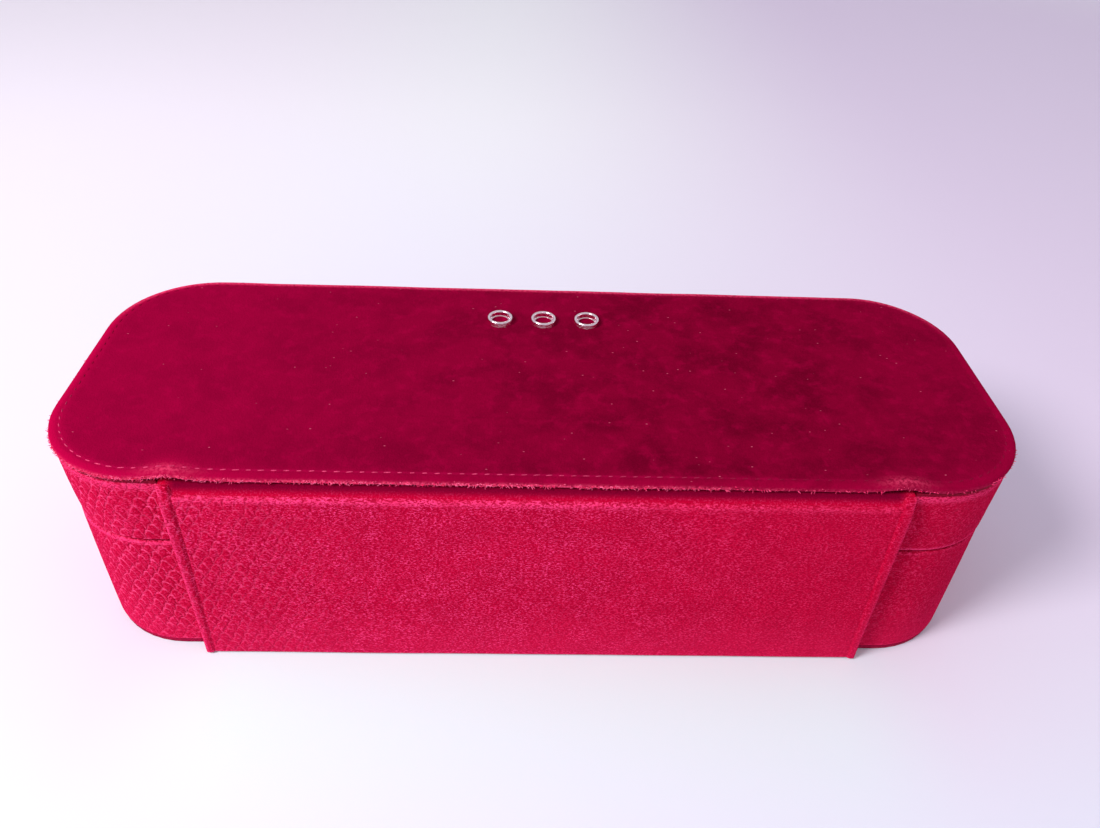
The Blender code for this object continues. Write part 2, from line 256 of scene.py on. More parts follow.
def verts_of(geometry):
    return [v for v in geometry if isinstance(v, bmesh.types.BMVert)]


def edges_of(geometry):
    return [e for e in geometry if isinstance(e, bmesh.types.BMEdge)]


def extrude_loop(bm, loop):
    """The new points and edges of a loop extruded in place."""
    made = bmesh.ops.extrude_edge_only(bm, edges=loop)["geom"]
    return verts_of(made), edges_of(made)


def rounded_loop(bm, half_x, half_y, radius, height, spacing):
    """An edge loop round a rounded rectangle, with a point about every spacing."""
    verts = bmesh.ops.create_grid(bm, x_segments=1, y_segments=1, size=1.0)["verts"]
    bmesh.ops.scale(bm, vec=(half_x, half_y, 1), verts=verts)
    steps = max(4, round(radius * math.pi / 2 / spacing))
    bmesh.ops.bevel(
        bm, geom=verts, offset=radius, offset_type="OFFSET", segments=steps, profile=0.5,
        affect="VERTICES", material=-1,
    )
    bmesh.ops.delete(bm, geom=bm.faces[:], context="FACES_ONLY")
    for edge in [e for e in bm.edges if e.calc_length() > 2 * spacing]:
        cuts = round(edge.calc_length() / spacing) - 1
        bmesh.ops.subdivide_edges(bm, edges=[edge], cuts=cuts)
    bmesh.ops.translate(bm, vec=(0, 0, height), verts=bm.verts)
    return bm.edges[:]


def carry_loop(bm, loop, inset_change, height):
    """Extrudes the loop to a new height, moved in by the change of inset."""
    moved, carried = extrude_loop(bm, loop)
    for vert in moved:
        vert.co -= outward(vert.co.x, vert.co.y) * inset_change
        vert.co.z = height
    return carried


def swept_outline(bm, stations, spacing, closed):
    """A surface through (inset, height) stations round the box, closed into a ring or left open."""
    first_inset, first_height = stations[0]
    loop = rounded_loop(
        bm, HALF_LENGTH - first_inset, HALF_DEPTH - first_inset, CORNER - first_inset, first_height, spacing
    )
    first_loop = loop
    inset = first_inset
    for station_inset, height in [*stations[1:], *([stations[0]] if closed else [])]:
        loop = carry_loop(bm, loop, station_inset - inset, height)
        inset = station_inset
    if closed:
        bmesh.ops.remove_doubles(bm, verts=bm.verts, dist=0.01 * MM)
    return first_loop, loop


def capped_outline(stations, spacing):
    """The outline swept through the stations, closed with a face at each end."""
    bm = bmesh.new()
    cap(bm, *swept_outline(bm, stations, spacing, closed=False))
    return bm


def fold(start, end, steps):
    """Stations on a quarter round from a flat stretch to an upright one, both ends included."""
    (inset_a, height_a), (inset_b, height_b) = start, end
    turns = [math.pi / 2 * step / steps for step in range(steps + 1)]
    return [
        (inset_a + (inset_b - inset_a) * math.sin(turn), height_b + (height_a - height_b) * math.cos(turn))
        for turn in turns
    ]


def between(low, high, steps):
    """The values from low to high, both ends included."""
    return [low + (high - low) * step / steps for step in range(steps + 1)]


# ---------------------------------------------------------------- pieces


def finish_piece(bm, name, body, material, replaced=(), smooth_angle=40):
    """The bmesh as a finished piece: faces out, shaded, riding on its body."""
    bmesh.ops.recalc_face_normals(bm, faces=bm.faces)
    mesh = bpy.data.meshes.new(name)
    bm.to_mesh(mesh)
    bm.free()
    mesh.shade_smooth()
    mesh.set_sharp_from_angle(angle=math.radians(smooth_angle))
    mesh.materials.append(material)
    piece = bpy.data.objects.new(name, mesh)
    bpy.context.scene.collection.objects.link(piece)
    if body:
        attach(piece, body)
    if replaced:
        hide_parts(*replaced)
    return piece


def bevel_edges(bm, edges, offset, segments, clamp=False):
    """Rounds the edges over, or cuts them flat with one segment."""
    bmesh.ops.bevel(
        bm, geom=edges, offset=offset, offset_type="OFFSET", segments=segments, profile=0.5,
        affect="EDGES", material=-1, clamp_overlap=clamp,
    )


def cap(bm, *loops):
    """Closes each loop with a face."""
    for loop in loops:
        bmesh.ops.contextual_create(bm, geom=loop)


def uneven(x, y, z, amount):
    """A smooth random rise or fall of up to about this amount, the same on every run."""
    return noise.noise(Vector((x, y, z))) * amount


def map_cloth(bm, place):
    """Gives every face corner its place on the cloth, in metres, from place(co)."""
    layer = bm.loops.layers.uv.new(CLOTH_MAP)
    half_round = outline_length(0) / 2
    for face in bm.faces:
        spots = [place(loop.vert.co) for loop in face.loops]
        reference = spots[0][0]
        for loop, (along, up) in zip(face.loops, spots):
            if along - reference > half_round:
                along -= 2 * half_round
            elif reference - along > half_round:
                along += 2 * half_round
            loop[layer].uv = (along, up)


def move_points(bm, shift):
    """Moves every vertex by shift(co)."""
    for vert in bm.verts:
        vert.co += shift(vert.co)


def bell(value, centre, width):
    return math.exp(-(((value - centre) / width) ** 2))


def ease(value, low, high):
    """0 below low, 1 above high, smooth between."""
    share = max(0.0, min(1.0, (value - low) / (high - low)))
    return share * share * (3 - 2 * share)


def scale_dome(along, up, sizes):
    """How high a point stands on its embossed scale: 0 on the pressed arcs, 1 inside a scale."""
    row, share = divmod(up / sizes.scale_height, 1)
    arc = abs(math.sin(math.pi * (along / sizes.scale_width + row / 2)))
    return ease(abs(share - arc), 0.05, 0.45)


# ---------------------------------------------------------------- materials


def tone(colour, share):
    """The colour darkened or lightened by a share."""
    return (*(min(1.0, part * share) for part in colour[:3]), 1)


class Shader:
    """A material put together from nodes."""

    def __init__(self, name, **settings):
        self.material = bpy.data.materials.new(name)
        self.material.use_nodes = True
        self.tree = self.material.node_tree
        self.surface = self.tree.nodes["Principled BSDF"]
        for socket, value in settings.items():
            self.surface.inputs[socket.replace("_", " ")].default_value = value

    def node(self, kind, inputs, **settings):
        made = self.tree.nodes.new(kind)
        for key, value in settings.items():
            setattr(made, key, value)
        for key, value in inputs.items():
            if isinstance(value, bpy.types.NodeSocket):
                self.tree.links.new(value, made.inputs[key])
            else:
                made.inputs[key].default_value = value
        return made

    def link(self, value, socket):
        self.tree.links.new(value, self.surface.inputs[socket])

    def place(self):
        """The point on the object, in metres."""
        return self.node("ShaderNodeTexCoord", {}).outputs["Object"]

    def cloth(self):
        """The place on the cloth, in metres."""
        return self.node("ShaderNodeUVMap", {}, uv_map=CLOTH_MAP).outputs["UV"]

    def axis(self, place, name):
        """One of a place's numbers: X, Y or Z."""
        return self.node("ShaderNodeSeparateXYZ", {0: place}).outputs[name]

    def painted(self, name):
        """A share kept on the mesh's points."""
        return self.node("ShaderNodeAttribute", {}, attribute_name=name).outputs["Fac"]

    def math(self, operation, first, second=0.0):
        return self.node("ShaderNodeMath", {0: first, 1: second}, operation=operation).outputs[0]

    def vector(self, operation, inputs, output=0):
        return self.node("ShaderNodeVectorMath", inputs, operation=operation).outputs[output]

    def plus(self, first, second):
        return self.math("ADD", first, second)

    def minus(self, first, second):
        return self.math("SUBTRACT", first, second)

    def times(self, first, *others):
        for other in others:
            first = self.math("MULTIPLY", first, other)
        return first

    def noise(self, place, size, detail=2.0, rough=0.5):
        """Soft noise whose patches are about this size."""
        inputs = {"Vector": place, "Scale": 1 / size, "Detail": detail, "Roughness": rough}
        return self.node("ShaderNodeTexNoise", inputs).outputs["Fac"]

    def spread(self, value, low, high, to_low=0.0, to_high=1.0):
        """The value carried from one range to another, smooth and held at its ends."""
        inputs = {"Value": value, "From Min": low, "From Max": high, "To Min": to_low, "To Max": to_high}
        return self.node("ShaderNodeMapRange", inputs, interpolation_type="SMOOTHSTEP").outputs["Result"]

    def patches(self, place, noise, *limits):
        """Noise of this (size, detail, roughness), sharpened between its limits."""
        return self.spread(self.noise(place, *noise), *limits)

    def mix(self, share, first, second):
        """A colour between two."""
        return self.node("ShaderNodeMix", {0: share, 6: first, 7: second}, data_type="RGBA").outputs[2]

    def layers(self, ground, *coats):
        """The ground with coats laid over it in turn, each a (share, colour)."""
        for share, colour in coats:
            ground = self.mix(share, ground, colour)
        return ground

    def bump(self, height, depth):
        inputs = {"Height": height, "Distance": depth, "Strength": 1.0}
        return self.node("ShaderNodeBump", inputs).outputs["Normal"]

    def finish(self, ground, height, depth):
        """The material, with its colour and its bump joined to the surface."""
        self.link(ground, "Base Color")
        self.link(self.bump(height, depth), "Normal")
        return self.material


def velvet(name, sheen=0.25, tint=(1.0, 0.02, 0.14, 1.0)):
    """A shader with velvet's own soft glow along its edges."""
    return Shader(
        name, Roughness=0.9, Specular_IOR_Level=0.0, Sheen_Weight=sheen, Sheen_Roughness=0.5,
        Sheen_Tint=tint,
    )


def panel_velvet_material(colours):
    """Deep velvet with brushed patches and lint specks, painted light towards the left, lighter towards the
    right end, and painted highlights on its rim, stitch groove and rear lip.
    """
    shader = velvet("panel_velvet", sheen=0.12)
    place = shader.place()
    across = shader.axis(place, "X")
    # Painted light: the panel is lighter towards the left, where the lamp stands.
    painted_light_left = shader.minus(1.0, shader.spread(across, -150 * MM, 60 * MM))
    patches = shader.patches(place, (15 * MM, 4, 0.65), 0.38, 0.66)
    strokes = shader.patches(place, (4.5 * MM, 3, 0.65), 0.46, 0.76)
    pile = shader.patches(place, (0.6 * MM, 2, 0.7), 0.40, 0.72)
    # Painted highlight on the rolled rim, stronger towards the lit left end.
    rim = shader.times(shader.painted("rim"), 0.7, shader.spread(across, -138 * MM, -60 * MM, 1.0, 0.35))
    frayed = shader.patches(place, (0.8 * MM, 2, 0.7), 0.42, 0.56, 0.20, 1.0)
    ground = shader.layers(
        shader.mix(patches, colours.panel, tone(colours.panel, 0.64)),
        (shader.times(strokes, 0.46), colours.panel_light),
        (shader.times(pile, 0.16), colours.panel_light),
        (shader.times(painted_light_left, 0.55), colours.panel_light),
        (rim, RIM_HIGHLIGHT),
        # Lip: a painted highlight along the rear edge, the pale cut pile along the front's lower edge, and
        # the rubbed nap over the hems.
        (shader.times(shader.painted("lip"), frayed), LIP_PILE_AND_HIGHLIGHT),
        (shader.spread(across, 80 * MM, 135 * MM, 0.0, 0.22), colours.panel_light),
        # Painted highlight in the stitch groove, only at the lit front-left.
        (shader.times(shader.painted("seam"), 0.45), GROOVE_HIGHLIGHT),
        (shader.times(lint_specks(shader, place), 0.7), LINT),
    )
    height = shader.plus(shader.times(pile, 0.5), shader.times(strokes, 0.8))
    return shader.finish(ground, height, 0.14 * MM)


def lint_specks(shader, place):
    """Specks of lint in some of the cells of a wide pattern, more of them to the right."""
    spacing, size = 4.4 * MM, 0.05
    narrow = {"Vector": place, "Scale": (1, 2.2, 1), "Rotation": (0, 0, 0.5)}
    cloth = shader.node("ShaderNodeMapping", narrow).outputs[0]
    cells = shader.node("ShaderNodeTexVoronoi", {"Vector": cloth, "Scale": 1 / spacing})
    dot = shader.spread(cells.outputs["Distance"], size, size * 1.6, 1.0, 0.0)
    chance = shader.spread(shader.axis(place, "X"), -100 * MM, 60 * MM, 0.0, 0.22)
    picked = shader.plus(shader.axis(cells.outputs["Color"], "X"), chance)
    return shader.times(dot, shader.spread(picked, 0.72, 0.95))


def scale_lines(shader, cloth, sizes):
    """How far a point is from the arcs that edge the scales, and how clearly the arc is drawn there."""
    warped = cloth
    for size, reach in ((9 * MM, 3.4 * MM), (2.6 * MM, 1.6 * MM)):
        wobble = shader.node("ShaderNodeTexNoise", {"Vector": cloth, "Scale": 1 / size, "Detail": 1.0})
        shift = shader.vector("SUBTRACT", {0: wobble.outputs["Color"], 1: (0.5, 0.5, 0.5)})
        warped = shader.vector("ADD", {0: warped, 1: shader.vector("SCALE", {0: shift, "Scale": reach})})
    height = shader.math("DIVIDE", shader.axis(warped, "Y"), sizes.scale_height)
    row = shader.math("FLOOR", height)
    turn = shader.times(shader.axis(warped, "X"), math.pi / sizes.scale_width)
    turn = shader.plus(turn, shader.times(row, math.pi / 2))
    arc = shader.math("ABSOLUTE", shader.math("SINE", turn))
    steep = shader.math("ABSOLUTE", shader.math("COSINE", turn))
    away = shader.math("ABSOLUTE", shader.minus(shader.minus(height, row), arc))
    return away, shader.spread(steep, 0.2, 1.0, 1.0, 0.45)


def embossed_velvet_material(name, colours, sizes, fade):
    """Bright velvet pressed with rows of scales, with painted glints and painted shade in its fine sparkle,
    most where fade makes the scales faint, painted highlights along its edges and near its foot from the
    floor's bounce, and painted shade towards the right.
    """
    shader = velvet(name, sheen=0.40, tint=(1.0, 0.030, 0.17, 1.0))
    place, cloth = shader.place(), shader.cloth()
    across = shader.axis(place, "X")
    away, clear = scale_lines(shader, cloth, sizes)
    strength = fade(shader, place)
    stretched = shader.node("ShaderNodeMapping", {"Vector": place, "Scale": (0.55, 0.8, 1.12)}).outputs[0]
    grain = shader.noise(stretched, 0.45 * MM, 2, 0.72)
    edge = shader.painted("edge")
    drawn = shader.times(shader.spread(away, 0.05, 0.24, 1.0, 0.0), clear)
    broken = shader.patches(cloth, (2.4 * MM, 3, 0.65), 0.36, 0.50)
    rough = shader.spread(grain, 0.36, 0.52, 0.50, 1.0)
    # Grain of the painted glints, raised along the painted edge highlights.
    lifted = shader.plus(grain, shader.times(edge, 0.13))
    # Patches and lean of the painted glints: more towards the left and where the scales are faint.
    glint_patches = shader.patches(place, (6 * MM, 2, 0.55), 0.35, 0.65, 0.50, 1.0)
    glint_lean = shader.spread(across, -20 * MM, 100 * MM, 1.0, 0.45)
    glint_lean = shader.minus(glint_lean, shader.times(strength, 0.45))
    # Colour of the painted glints, paler towards the left.
    bright = shader.mix(
        shader.spread(across, 0.0, 80 * MM), tone(colours.wall_highlight, 1.15), colours.wall_highlight
    )
    nap = shader.patches(place, (14 * MM, 3, 0.55), 0.3, 0.7)
    deep = tone(colours.wall, 0.62)
    ground = shader.layers(
        shader.mix(nap, tone(colours.wall, 0.88), colours.wall),
        # Painted shade in the pile's fine sparkle.
        (shader.times(shader.spread(grain, 0.50, 0.40), 0.75), deep),
        # Painted shade towards the right end, away from the lamp.
        (shader.spread(across, 30 * MM, 130 * MM, 0.0, 0.24), deep),
        # Painted glints in the pile's fine sparkle.
        (shader.times(shader.spread(lifted, 0.53, 0.62), glint_patches, glint_lean), bright),
        (shader.times(drawn, broken, rough, strength, 0.98), CREST_NAP),
        # Painted highlights along the edges, where edge is high.
        (shader.times(edge, shader.spread(grain, 0.40, 0.56, 0.25, 0.8), 0.8), colours.wall_highlight),
        # Painted highlight low on the walls from light bounced off the floor.
        (shader.spread(shader.axis(place, "Z"), 0.0, 26 * MM, 0.22, 0.0), FLOOR_BOUNCE_HIGHLIGHT),
    )
    relief = shader.times(shader.spread(away, 0.0, 0.5), strength, 0.8)
    return shader.finish(ground, shader.plus(relief, shader.times(grain, 1.4)), 0.24 * MM)


def fold_velvet_material(colours):
    """Velvet bent into the fold, with painted shade where it turns under the panel and painted glints in
    its grain.
    """
    shader = velvet("fold_velvet", sheen=0.2)
    grain = shader.noise(shader.place(), 0.45 * MM, 2, 0.65)
    ground = shader.layers(
        tone(colours.wall, 0.95),
        # Painted glints in the grain.
        (shader.times(shader.spread(grain, 0.5, 0.7), 0.5), colours.wall_highlight),
        # Painted shade where the fold turns under the panel's rim.
        (shader.painted("deep"), FOLD_PAINTED_SHADE),
    )
    return shader.finish(ground, grain, 0.2 * MM)


def fading(shader, place, lean, patch_size, patch_low, patch_least):
    """A share that leans from one end of the box to the other, in patches."""
    patches = shader.patches(place, (patch_size, 2, 0.5), patch_low, 0.55, patch_least, 1.0)
    return shader.times(shader.spread(shader.axis(place, "X"), *lean), patches)


def fade_on_walls(shader, place):
    """Strong at the left end, softer at the right."""
    return fading(shader, place, (-115 * MM, 105 * MM, 1.0, 0.15), 12 * MM, 0.30, 0.45)


def fade_on_flap(shader, place):
    """Clear at the left end, fainter towards the middle and right."""
    return fading(shader, place, (-100 * MM, -40 * MM, 0.66, 0.05), 9 * MM, 0.32, 0.3)


def plain_velvet_material(name, colour):
    """Plain short pile velvet."""
    shader = velvet(name)
    place = shader.place()
    nap = shader.patches(place, (9 * MM, 3, 0.6), 0.3, 0.7)
    grain = shader.noise(place, 0.5 * MM, 2, 0.7)
    light = (*(min(1.0, part * 1.7 + 0.01) for part in colour[:3]), 1)
    ground = shader.layers(
        shader.mix(nap, tone(colour, 0.75), colour),
        (shader.times(shader.spread(grain, 0.45, 0.7), 0.4), light),
    )
    return shader.finish(ground, grain, 0.15 * MM)


def pile_material():
    """Pale cut ends of the pile, in clumps of two shades, with a painted highlight that makes them paler
    towards the lit left.
    """
    shader = velvet("cut_pile", sheen=0.4, tint=(1.0, 0.25, 0.42, 1.0))
    place = shader.place()
    clump = shader.patches(place, (0.9 * MM, 2, 0.6), 0.38, 0.56)
    wide = shader.patches(place, (9 * MM, 2, 0.6), 0.30, 0.55, 0.45, 1.0)
    # Painted highlight: more pale pile towards the lit left.
    lean = shader.spread(shader.axis(place, "X"), 0.0, 90 * MM, 1.0, 0.35)
    shader.link(shader.mix(shader.times(clump, wide, lean), *PILE), "Base Color")
    return shader.material


def thread_material(colours):
    """Sewing thread with a painted highlight: the pale strand where the highlight is strong, the panel's
    crimson where it is weak.
    """
    shader = Shader("sewing_thread", Roughness=0.8, Specular_IOR_Level=0.0)
    twist = {"Vector": shader.place(), "Scale": 900.0, "Distortion": 1.5}
    ply = shader.node("ShaderNodeTexWave", twist, bands_direction="DIAGONAL").outputs["Fac"]
    strand = shader.mix(shader.times(ply, 0.5), colours.thread, tone(colours.thread, 0.7))
    ground = shader.mix(shader.painted("thread_highlight"), tone(colours.panel, 1.05), strand)
    return shader.finish(ground, ply, 0.05 * MM)


def clouded_metal(name, cloud_size, shades, roughness, **settings):
    """A metal finish that clouds between two shades, its roughness following the cloud."""
    shader = Shader(name, Metallic=1.0, **settings)
    cloud = shader.noise(shader.place(), cloud_size, 3, 0.6)
    shader.link(shader.mix(cloud, *shades), "Base Color")
    shader.link(shader.spread(cloud, *roughness), "Roughness")
    return shader


def polished_metal_material():
    """Bright plating with the finest handling marks."""
    shader = clouded_metal("polished_plating", 0.8 * MM, PLATING, (0.3, 0.8, 0.10, 0.28))
    shader.link(shader.bump(shader.noise(shader.place(), 0.45 * MM, 2, 0.6), 0.07 * MM), "Normal")
    return shader.material


def magnet_material():
    """Dull plating on the hidden magnets."""
    return clouded_metal("plated_magnet", 1.5 * MM, DULL_PLATING, (0.2, 0.8, 0.22, 0.42)).material


def mirror_material():
    """Silvered glass with a faint haze."""
    haze = (0.3, 0.8, 0.015, 0.05)
    return clouded_metal("silvered_glass", 18 * MM, SILVERING, haze, Coat_Weight=0.6).material


def board_material(name, shades):
    """Pressed grey board, or paper over it, with its flecks and fibres."""
    light, dark = shades
    shader = Shader(name, Specular_IOR_Level=0.1)
    place = shader.place()
    fibres = shader.noise(place, 0.9 * MM, 4, 0.7)
    flecks = shader.patches(place, (0.4 * MM, 1, 0.5), 0.66, 0.72)
    ground = shader.layers(
        shader.mix(shader.spread(fibres, 0.3, 0.7), light, dark),
        (shader.times(flecks, 0.5), tone(dark, 0.5)),
    )
    shader.link(shader.spread(fibres, 0.3, 0.7, 0.75, 0.92), "Roughness")
    return shader.finish(ground, fibres, 0.06 * MM)


def floor_material(colours):
    """Matt pale paint, faintly tinted across the room, painted greener and bluer in front of the box
    against the red light bounced off it, with a painted shadow tint to the box's right.
    """
    shader = Shader("pale_floor", Roughness=0.7, Specular_IOR_Level=0.2)
    place = shader.place()
    across, deep = shader.axis(place, "X"), shader.axis(place, "Y")
    beside = shader.math("ABSOLUTE", across)
    away = shader.vector("LENGTH", {0: place}, "Value")

    def paint(*shares):
        return (*(min(1.0, part * share) for part, share in zip(colours.floor, shares)), 1)

    # Painted light: greener and bluer just in front of the box's foot, against the red light the flap
    # bounces onto the floor.
    foot = shader.times(
        shader.spread(deep, -130 * MM, -60 * MM), shader.spread(deep, -46 * MM, -40 * MM, 1.0, 0.0),
        shader.spread(beside, 85 * MM, 135 * MM, 1.0, 0.0),
    )
    # Painted shadow tint: less green in the box's shadow to its right.
    painted_shadow_tint = shader.times(
        shader.spread(across, -50 * MM, 300 * MM), shader.spread(deep, -110 * MM, 20 * MM, 0.1, 1.0)
    )
    tinge = shader.mix(shader.spread(across, -260 * MM, -20 * MM), *FLOOR_REAR)
    ground = shader.layers(
        shader.mix(shader.noise(place, 220 * MM, 2, 0.5), colours.floor, paint(1.03, 1.03, 1.03)),
        (shader.spread(deep, 40 * MM, 440 * MM), tinge),
        # Painted light: greener and bluer in front of the box, against the flap's red bounce.
        (shader.spread(deep, -50 * MM, -170 * MM), paint(0.98, 1.06, 1.06)),
        (foot, paint(0.96, 1.20, 1.08)),
        (painted_shadow_tint, paint(1.03, 0.90, 0.98)),
        (shader.spread(away, 0.85, 1.4), FLOOR_FAR),
    )
    shader.link(ground, "Base Color")
    return shader.material


# ---------------------------------------------------------------- operators


class StageOperator(bpy.types.Operator):
    """Sets the camera, the pale floor and the soft studio light"""

    bl_idname = "velvet_box.stage"
    bl_label = "Stage"

    def execute(self, context):
        colours = context.scene.velvet_box_colours
        self.make_camera(context)
        self.make_floor(context, colours)
        self.make_lights(context)
        context.scene.view_settings.view_transform = "Standard"
        return {"FINISHED"}

    def make_camera(self, context):
        flat = math.cos(DOWN)
        ahead = Vector((math.sin(AZIMUTH) * flat, math.cos(AZIMUTH) * flat, -math.sin(DOWN)))
        level = Vector((math.cos(AZIMUTH), -math.sin(AZIMUTH), 0))
        over = level.cross(ahead)
        right = level * math.cos(ROLL) + over * math.sin(ROLL)
        up = over * math.cos(ROLL) - level * math.sin(ROLL)
        camera = bpy.data.objects.new("camera", bpy.data.cameras.new("camera"))
        camera.data.lens = LENS
        camera.data.sensor_width = SENSOR
        camera.data.clip_start = 0.01
        camera.rotation_euler = Matrix((right, up, -ahead)).transposed().to_euler()
        camera.location = CAMERA_PLACE
        context.scene.collection.objects.link(camera)
        context.scene.camera = camera

    def make_floor(self, context, colours):
        """A round floor with a narrow joint across it behind the box, swept up all round."""
        reach, joint_turn = 1.7, math.radians(-2.2)
        bm = bmesh.new()
        bmesh.ops.create_circle(bm, cap_ends=True, segments=96, radius=reach)
        self.cut_joint(bm)
        self.sweep_up(bm, reach)
        bmesh.ops.recalc_face_normals(bm, faces=bm.faces)
        if max(bm.faces, key=lambda face: face.calc_area()).normal.z < 0:
            bmesh.ops.reverse_faces(bm, faces=bm.faces)
        bmesh.ops.rotate(bm, matrix=Matrix.Rotation(joint_turn, 3, "Z"), verts=bm.verts)
        mesh = bpy.data.meshes.new("floor")
        bm.to_mesh(mesh)
        bm.free()
        mesh.materials.append(floor_material(colours))
        floor = bpy.data.objects.new("floor", mesh)
        context.scene.collection.objects.link(floor)

    @staticmethod
    def cut_joint(bm):
        """The joint between the floor's two boards, as a groove."""
        width, distance, half_length = 1.4 * MM, 402 * MM, 1.25
        planes = [((0, distance + y, 0), (0, 1, 0)) for y in (0, width)]
        planes += [((x, 0, 0), (1, 0, 0)) for x in (-half_length, half_length)]
        for spot, normal in planes:
            everything = [*bm.verts, *bm.edges, *bm.faces]
            bmesh.ops.bisect_plane(bm, geom=everything, plane_co=spot, plane_no=normal)
        middles = {face: face.calc_center_median() for face in bm.faces}
        gap = [f for f, at in middles.items() if 0 < at.y - distance < width and abs(at.x) < half_length]
        lowered = bmesh.ops.extrude_face_region(bm, geom=gap)["geom"]
        bmesh.ops.translate(bm, vec=(0, 0, -1.5 * width), verts=verts_of(lowered))

    @staticmethod
    def sweep_up(bm, reach):
        """The floor's rim carried up in a quarter round, then straight up."""
        sweep, rise = 0.6, 1.3
        rim = [e for e in bm.edges if e.is_boundary]
        turns = between(0, math.pi / 2, 8)[1:]
        steps = [(reach + sweep * math.sin(turn), sweep * (1 - math.cos(turn))) for turn in turns]
        before, height_before = reach, 0.0
        for radius, height in [*steps, (reach + sweep, rise)]:
            made = bmesh.ops.extrude_edge_only(bm, edges=rim)["geom"]
            moved = verts_of(made)
            bmesh.ops.scale(bm, vec=(radius / before, radius / before, 1), verts=moved)
            bmesh.ops.translate(bm, vec=(0, 0, height - height_before), verts=moved)
            before, height_before = radius, height
            for face in (f for f in made if isinstance(f, bmesh.types.BMFace)):
                face.smooth = True
            rim = edges_of(made)

    def make_lights(self, context):
        light = bpy.data.lights.new("key", "AREA")
        light.shape = "DISK"
        light.size = KEY_SIZE
        light.energy = KEY_POWER
        light.color = KEY_COLOUR
        lamp = bpy.data.objects.new("key", light)
        lamp.location = KEY_PLACE
        lamp.rotation_euler = (-Vector(KEY_PLACE)).to_track_quat("-Z", "Y").to_euler()
        context.scene.collection.objects.link(lamp)
        world = bpy.data.worlds.new("studio")
        context.scene.world = world
        world.use_nodes = True
        room = world.node_tree.nodes["Background"]
        room.inputs["Color"].default_value = ROOM_COLOUR
        room.inputs["Strength"].default_value = ROOM_LIGHT


class TopPanelOperator(bpy.types.Operator):
    """Makes the sewn velvet panel on top of the lid"""

    bl_idname = "velvet_box.top_panel"
    bl_label = "Top panel"

    def execute(self, context):
        sizes, colours = context.scene.velvet_box_sizes, context.scene.velvet_box_colours
        low, high = PANEL_LOW.z, PANEL_HIGH.z
        groove = sizes.stitch_inset
        edge = ((0.00, 1.05), (0.12, 1.40), (0.45, 1.68), (1.00, 1.84), (1.70, 1.93))
        dip = ((-0.5, 1.93), (-0.2, 1.83), (0.2, 1.83), (0.6, 1.95))
        stations = [(7 * MM, low), (3 * MM, low)]
        stations += fold((0.5 * MM, low), (0.0, low + 0.5 * MM), 3)
        stations += [(inset * MM, low + rise * MM) for inset, rise in edge]
        stations += [(groove + inset * MM, low + rise * MM) for inset, rise in dip]
        stations += [(inset * MM, high) for inset in (5, 7, 9.5, 12, 15, 18, 22, 27)]
        bm = capped_outline(stations, 2.2 * MM)
        self.paint_rim_highlights_and_wear(bm, groove, low)
        move_points(bm, lambda co: panel_sway(co, sizes))
        finish_piece(bm, "panel_velvet", "lid", panel_velvet_material(colours), ["top_panel"])
        return {"FINISHED"}

    @staticmethod
    def paint_rim_highlights_and_wear(bm, groove, low):
        """Stores painted highlights where the nap rolls over the rim and in the pressed stitch groove, and
        at the lip a painted highlight along the rear edge, the pale cut pile along the front's lower edge
        and the nap rubbed over the hems.
        """
        rim = bm.verts.layers.float.new("rim")
        seam = bm.verts.layers.float.new("seam")
        lip = bm.verts.layers.float.new("lip")
        for vert in bm.verts:
            x, y, z = vert.co
            inset = inset_of(vert.co)
            front = ease(-y, 0, 40 * MM) * (1 - 0.6 * ease(x, 0, 90 * MM))
            lifted = bell(abs(x), HEM_MIDDLE, 6 * MM) * ease(-y, 0, HALF_DEPTH)
            over_hem = 0.9 * lifted * (1 - ease(inset, 4 * MM, 9 * MM))
            # rim: a painted highlight where the nap rolls over the edge and over the hems' bumps.
            vert[rim] = max(1 - ease(inset, 1.0 * MM, 4.5 * MM), over_hem)
            # seam: a painted highlight in the stitch groove at the lit front-left.
            vert[seam] = bell(inset, groove, 0.3 * MM) * front
            # lip: rubbed nap over the hems, a painted highlight along the rear edge, and the pale cut pile
            # along the front's lower edge.
            rubbed = 0.5 * lifted * bell(inset, 1.9 * MM, 1.6 * MM)
            rear = bell(inset, 1.15 * MM, 0.75 * MM) * ease(y, 20 * MM, 45 * MM)
            below = (1 - 0.75 * ease(x, 0.0, 80 * MM)) * ease(-y, 15 * MM, 46 * MM)
            below *= 1 - ease(z, low + 0.7 * MM, low + 1.6 * MM)
            vert[lip] = max(rear, rubbed, 0.85 * below)


def panel_sway(co, sizes):
    """The panel's soft rise over the flap's hems, and its hand-sewn unevenness."""
    near_front = ease(-co.y, HALF_DEPTH - 12 * MM, HALF_DEPTH)
    over_hems = bell(co.x, -HEM_MIDDLE, 6 * MM) + bell(co.x, HEM_MIDDLE, 6 * MM)
    edge = ease(abs(co.y), HALF_DEPTH - 8 * MM, HALF_DEPTH)
    rise = sizes.panel_lift * over_hems * near_front + uneven(co.x * 45, co.y * 45, 3.1, 0.16 * MM)
    return Vector((0, uneven(co.x * 90, co.y * 30, 8.4, 0.14 * MM) * edge, rise))


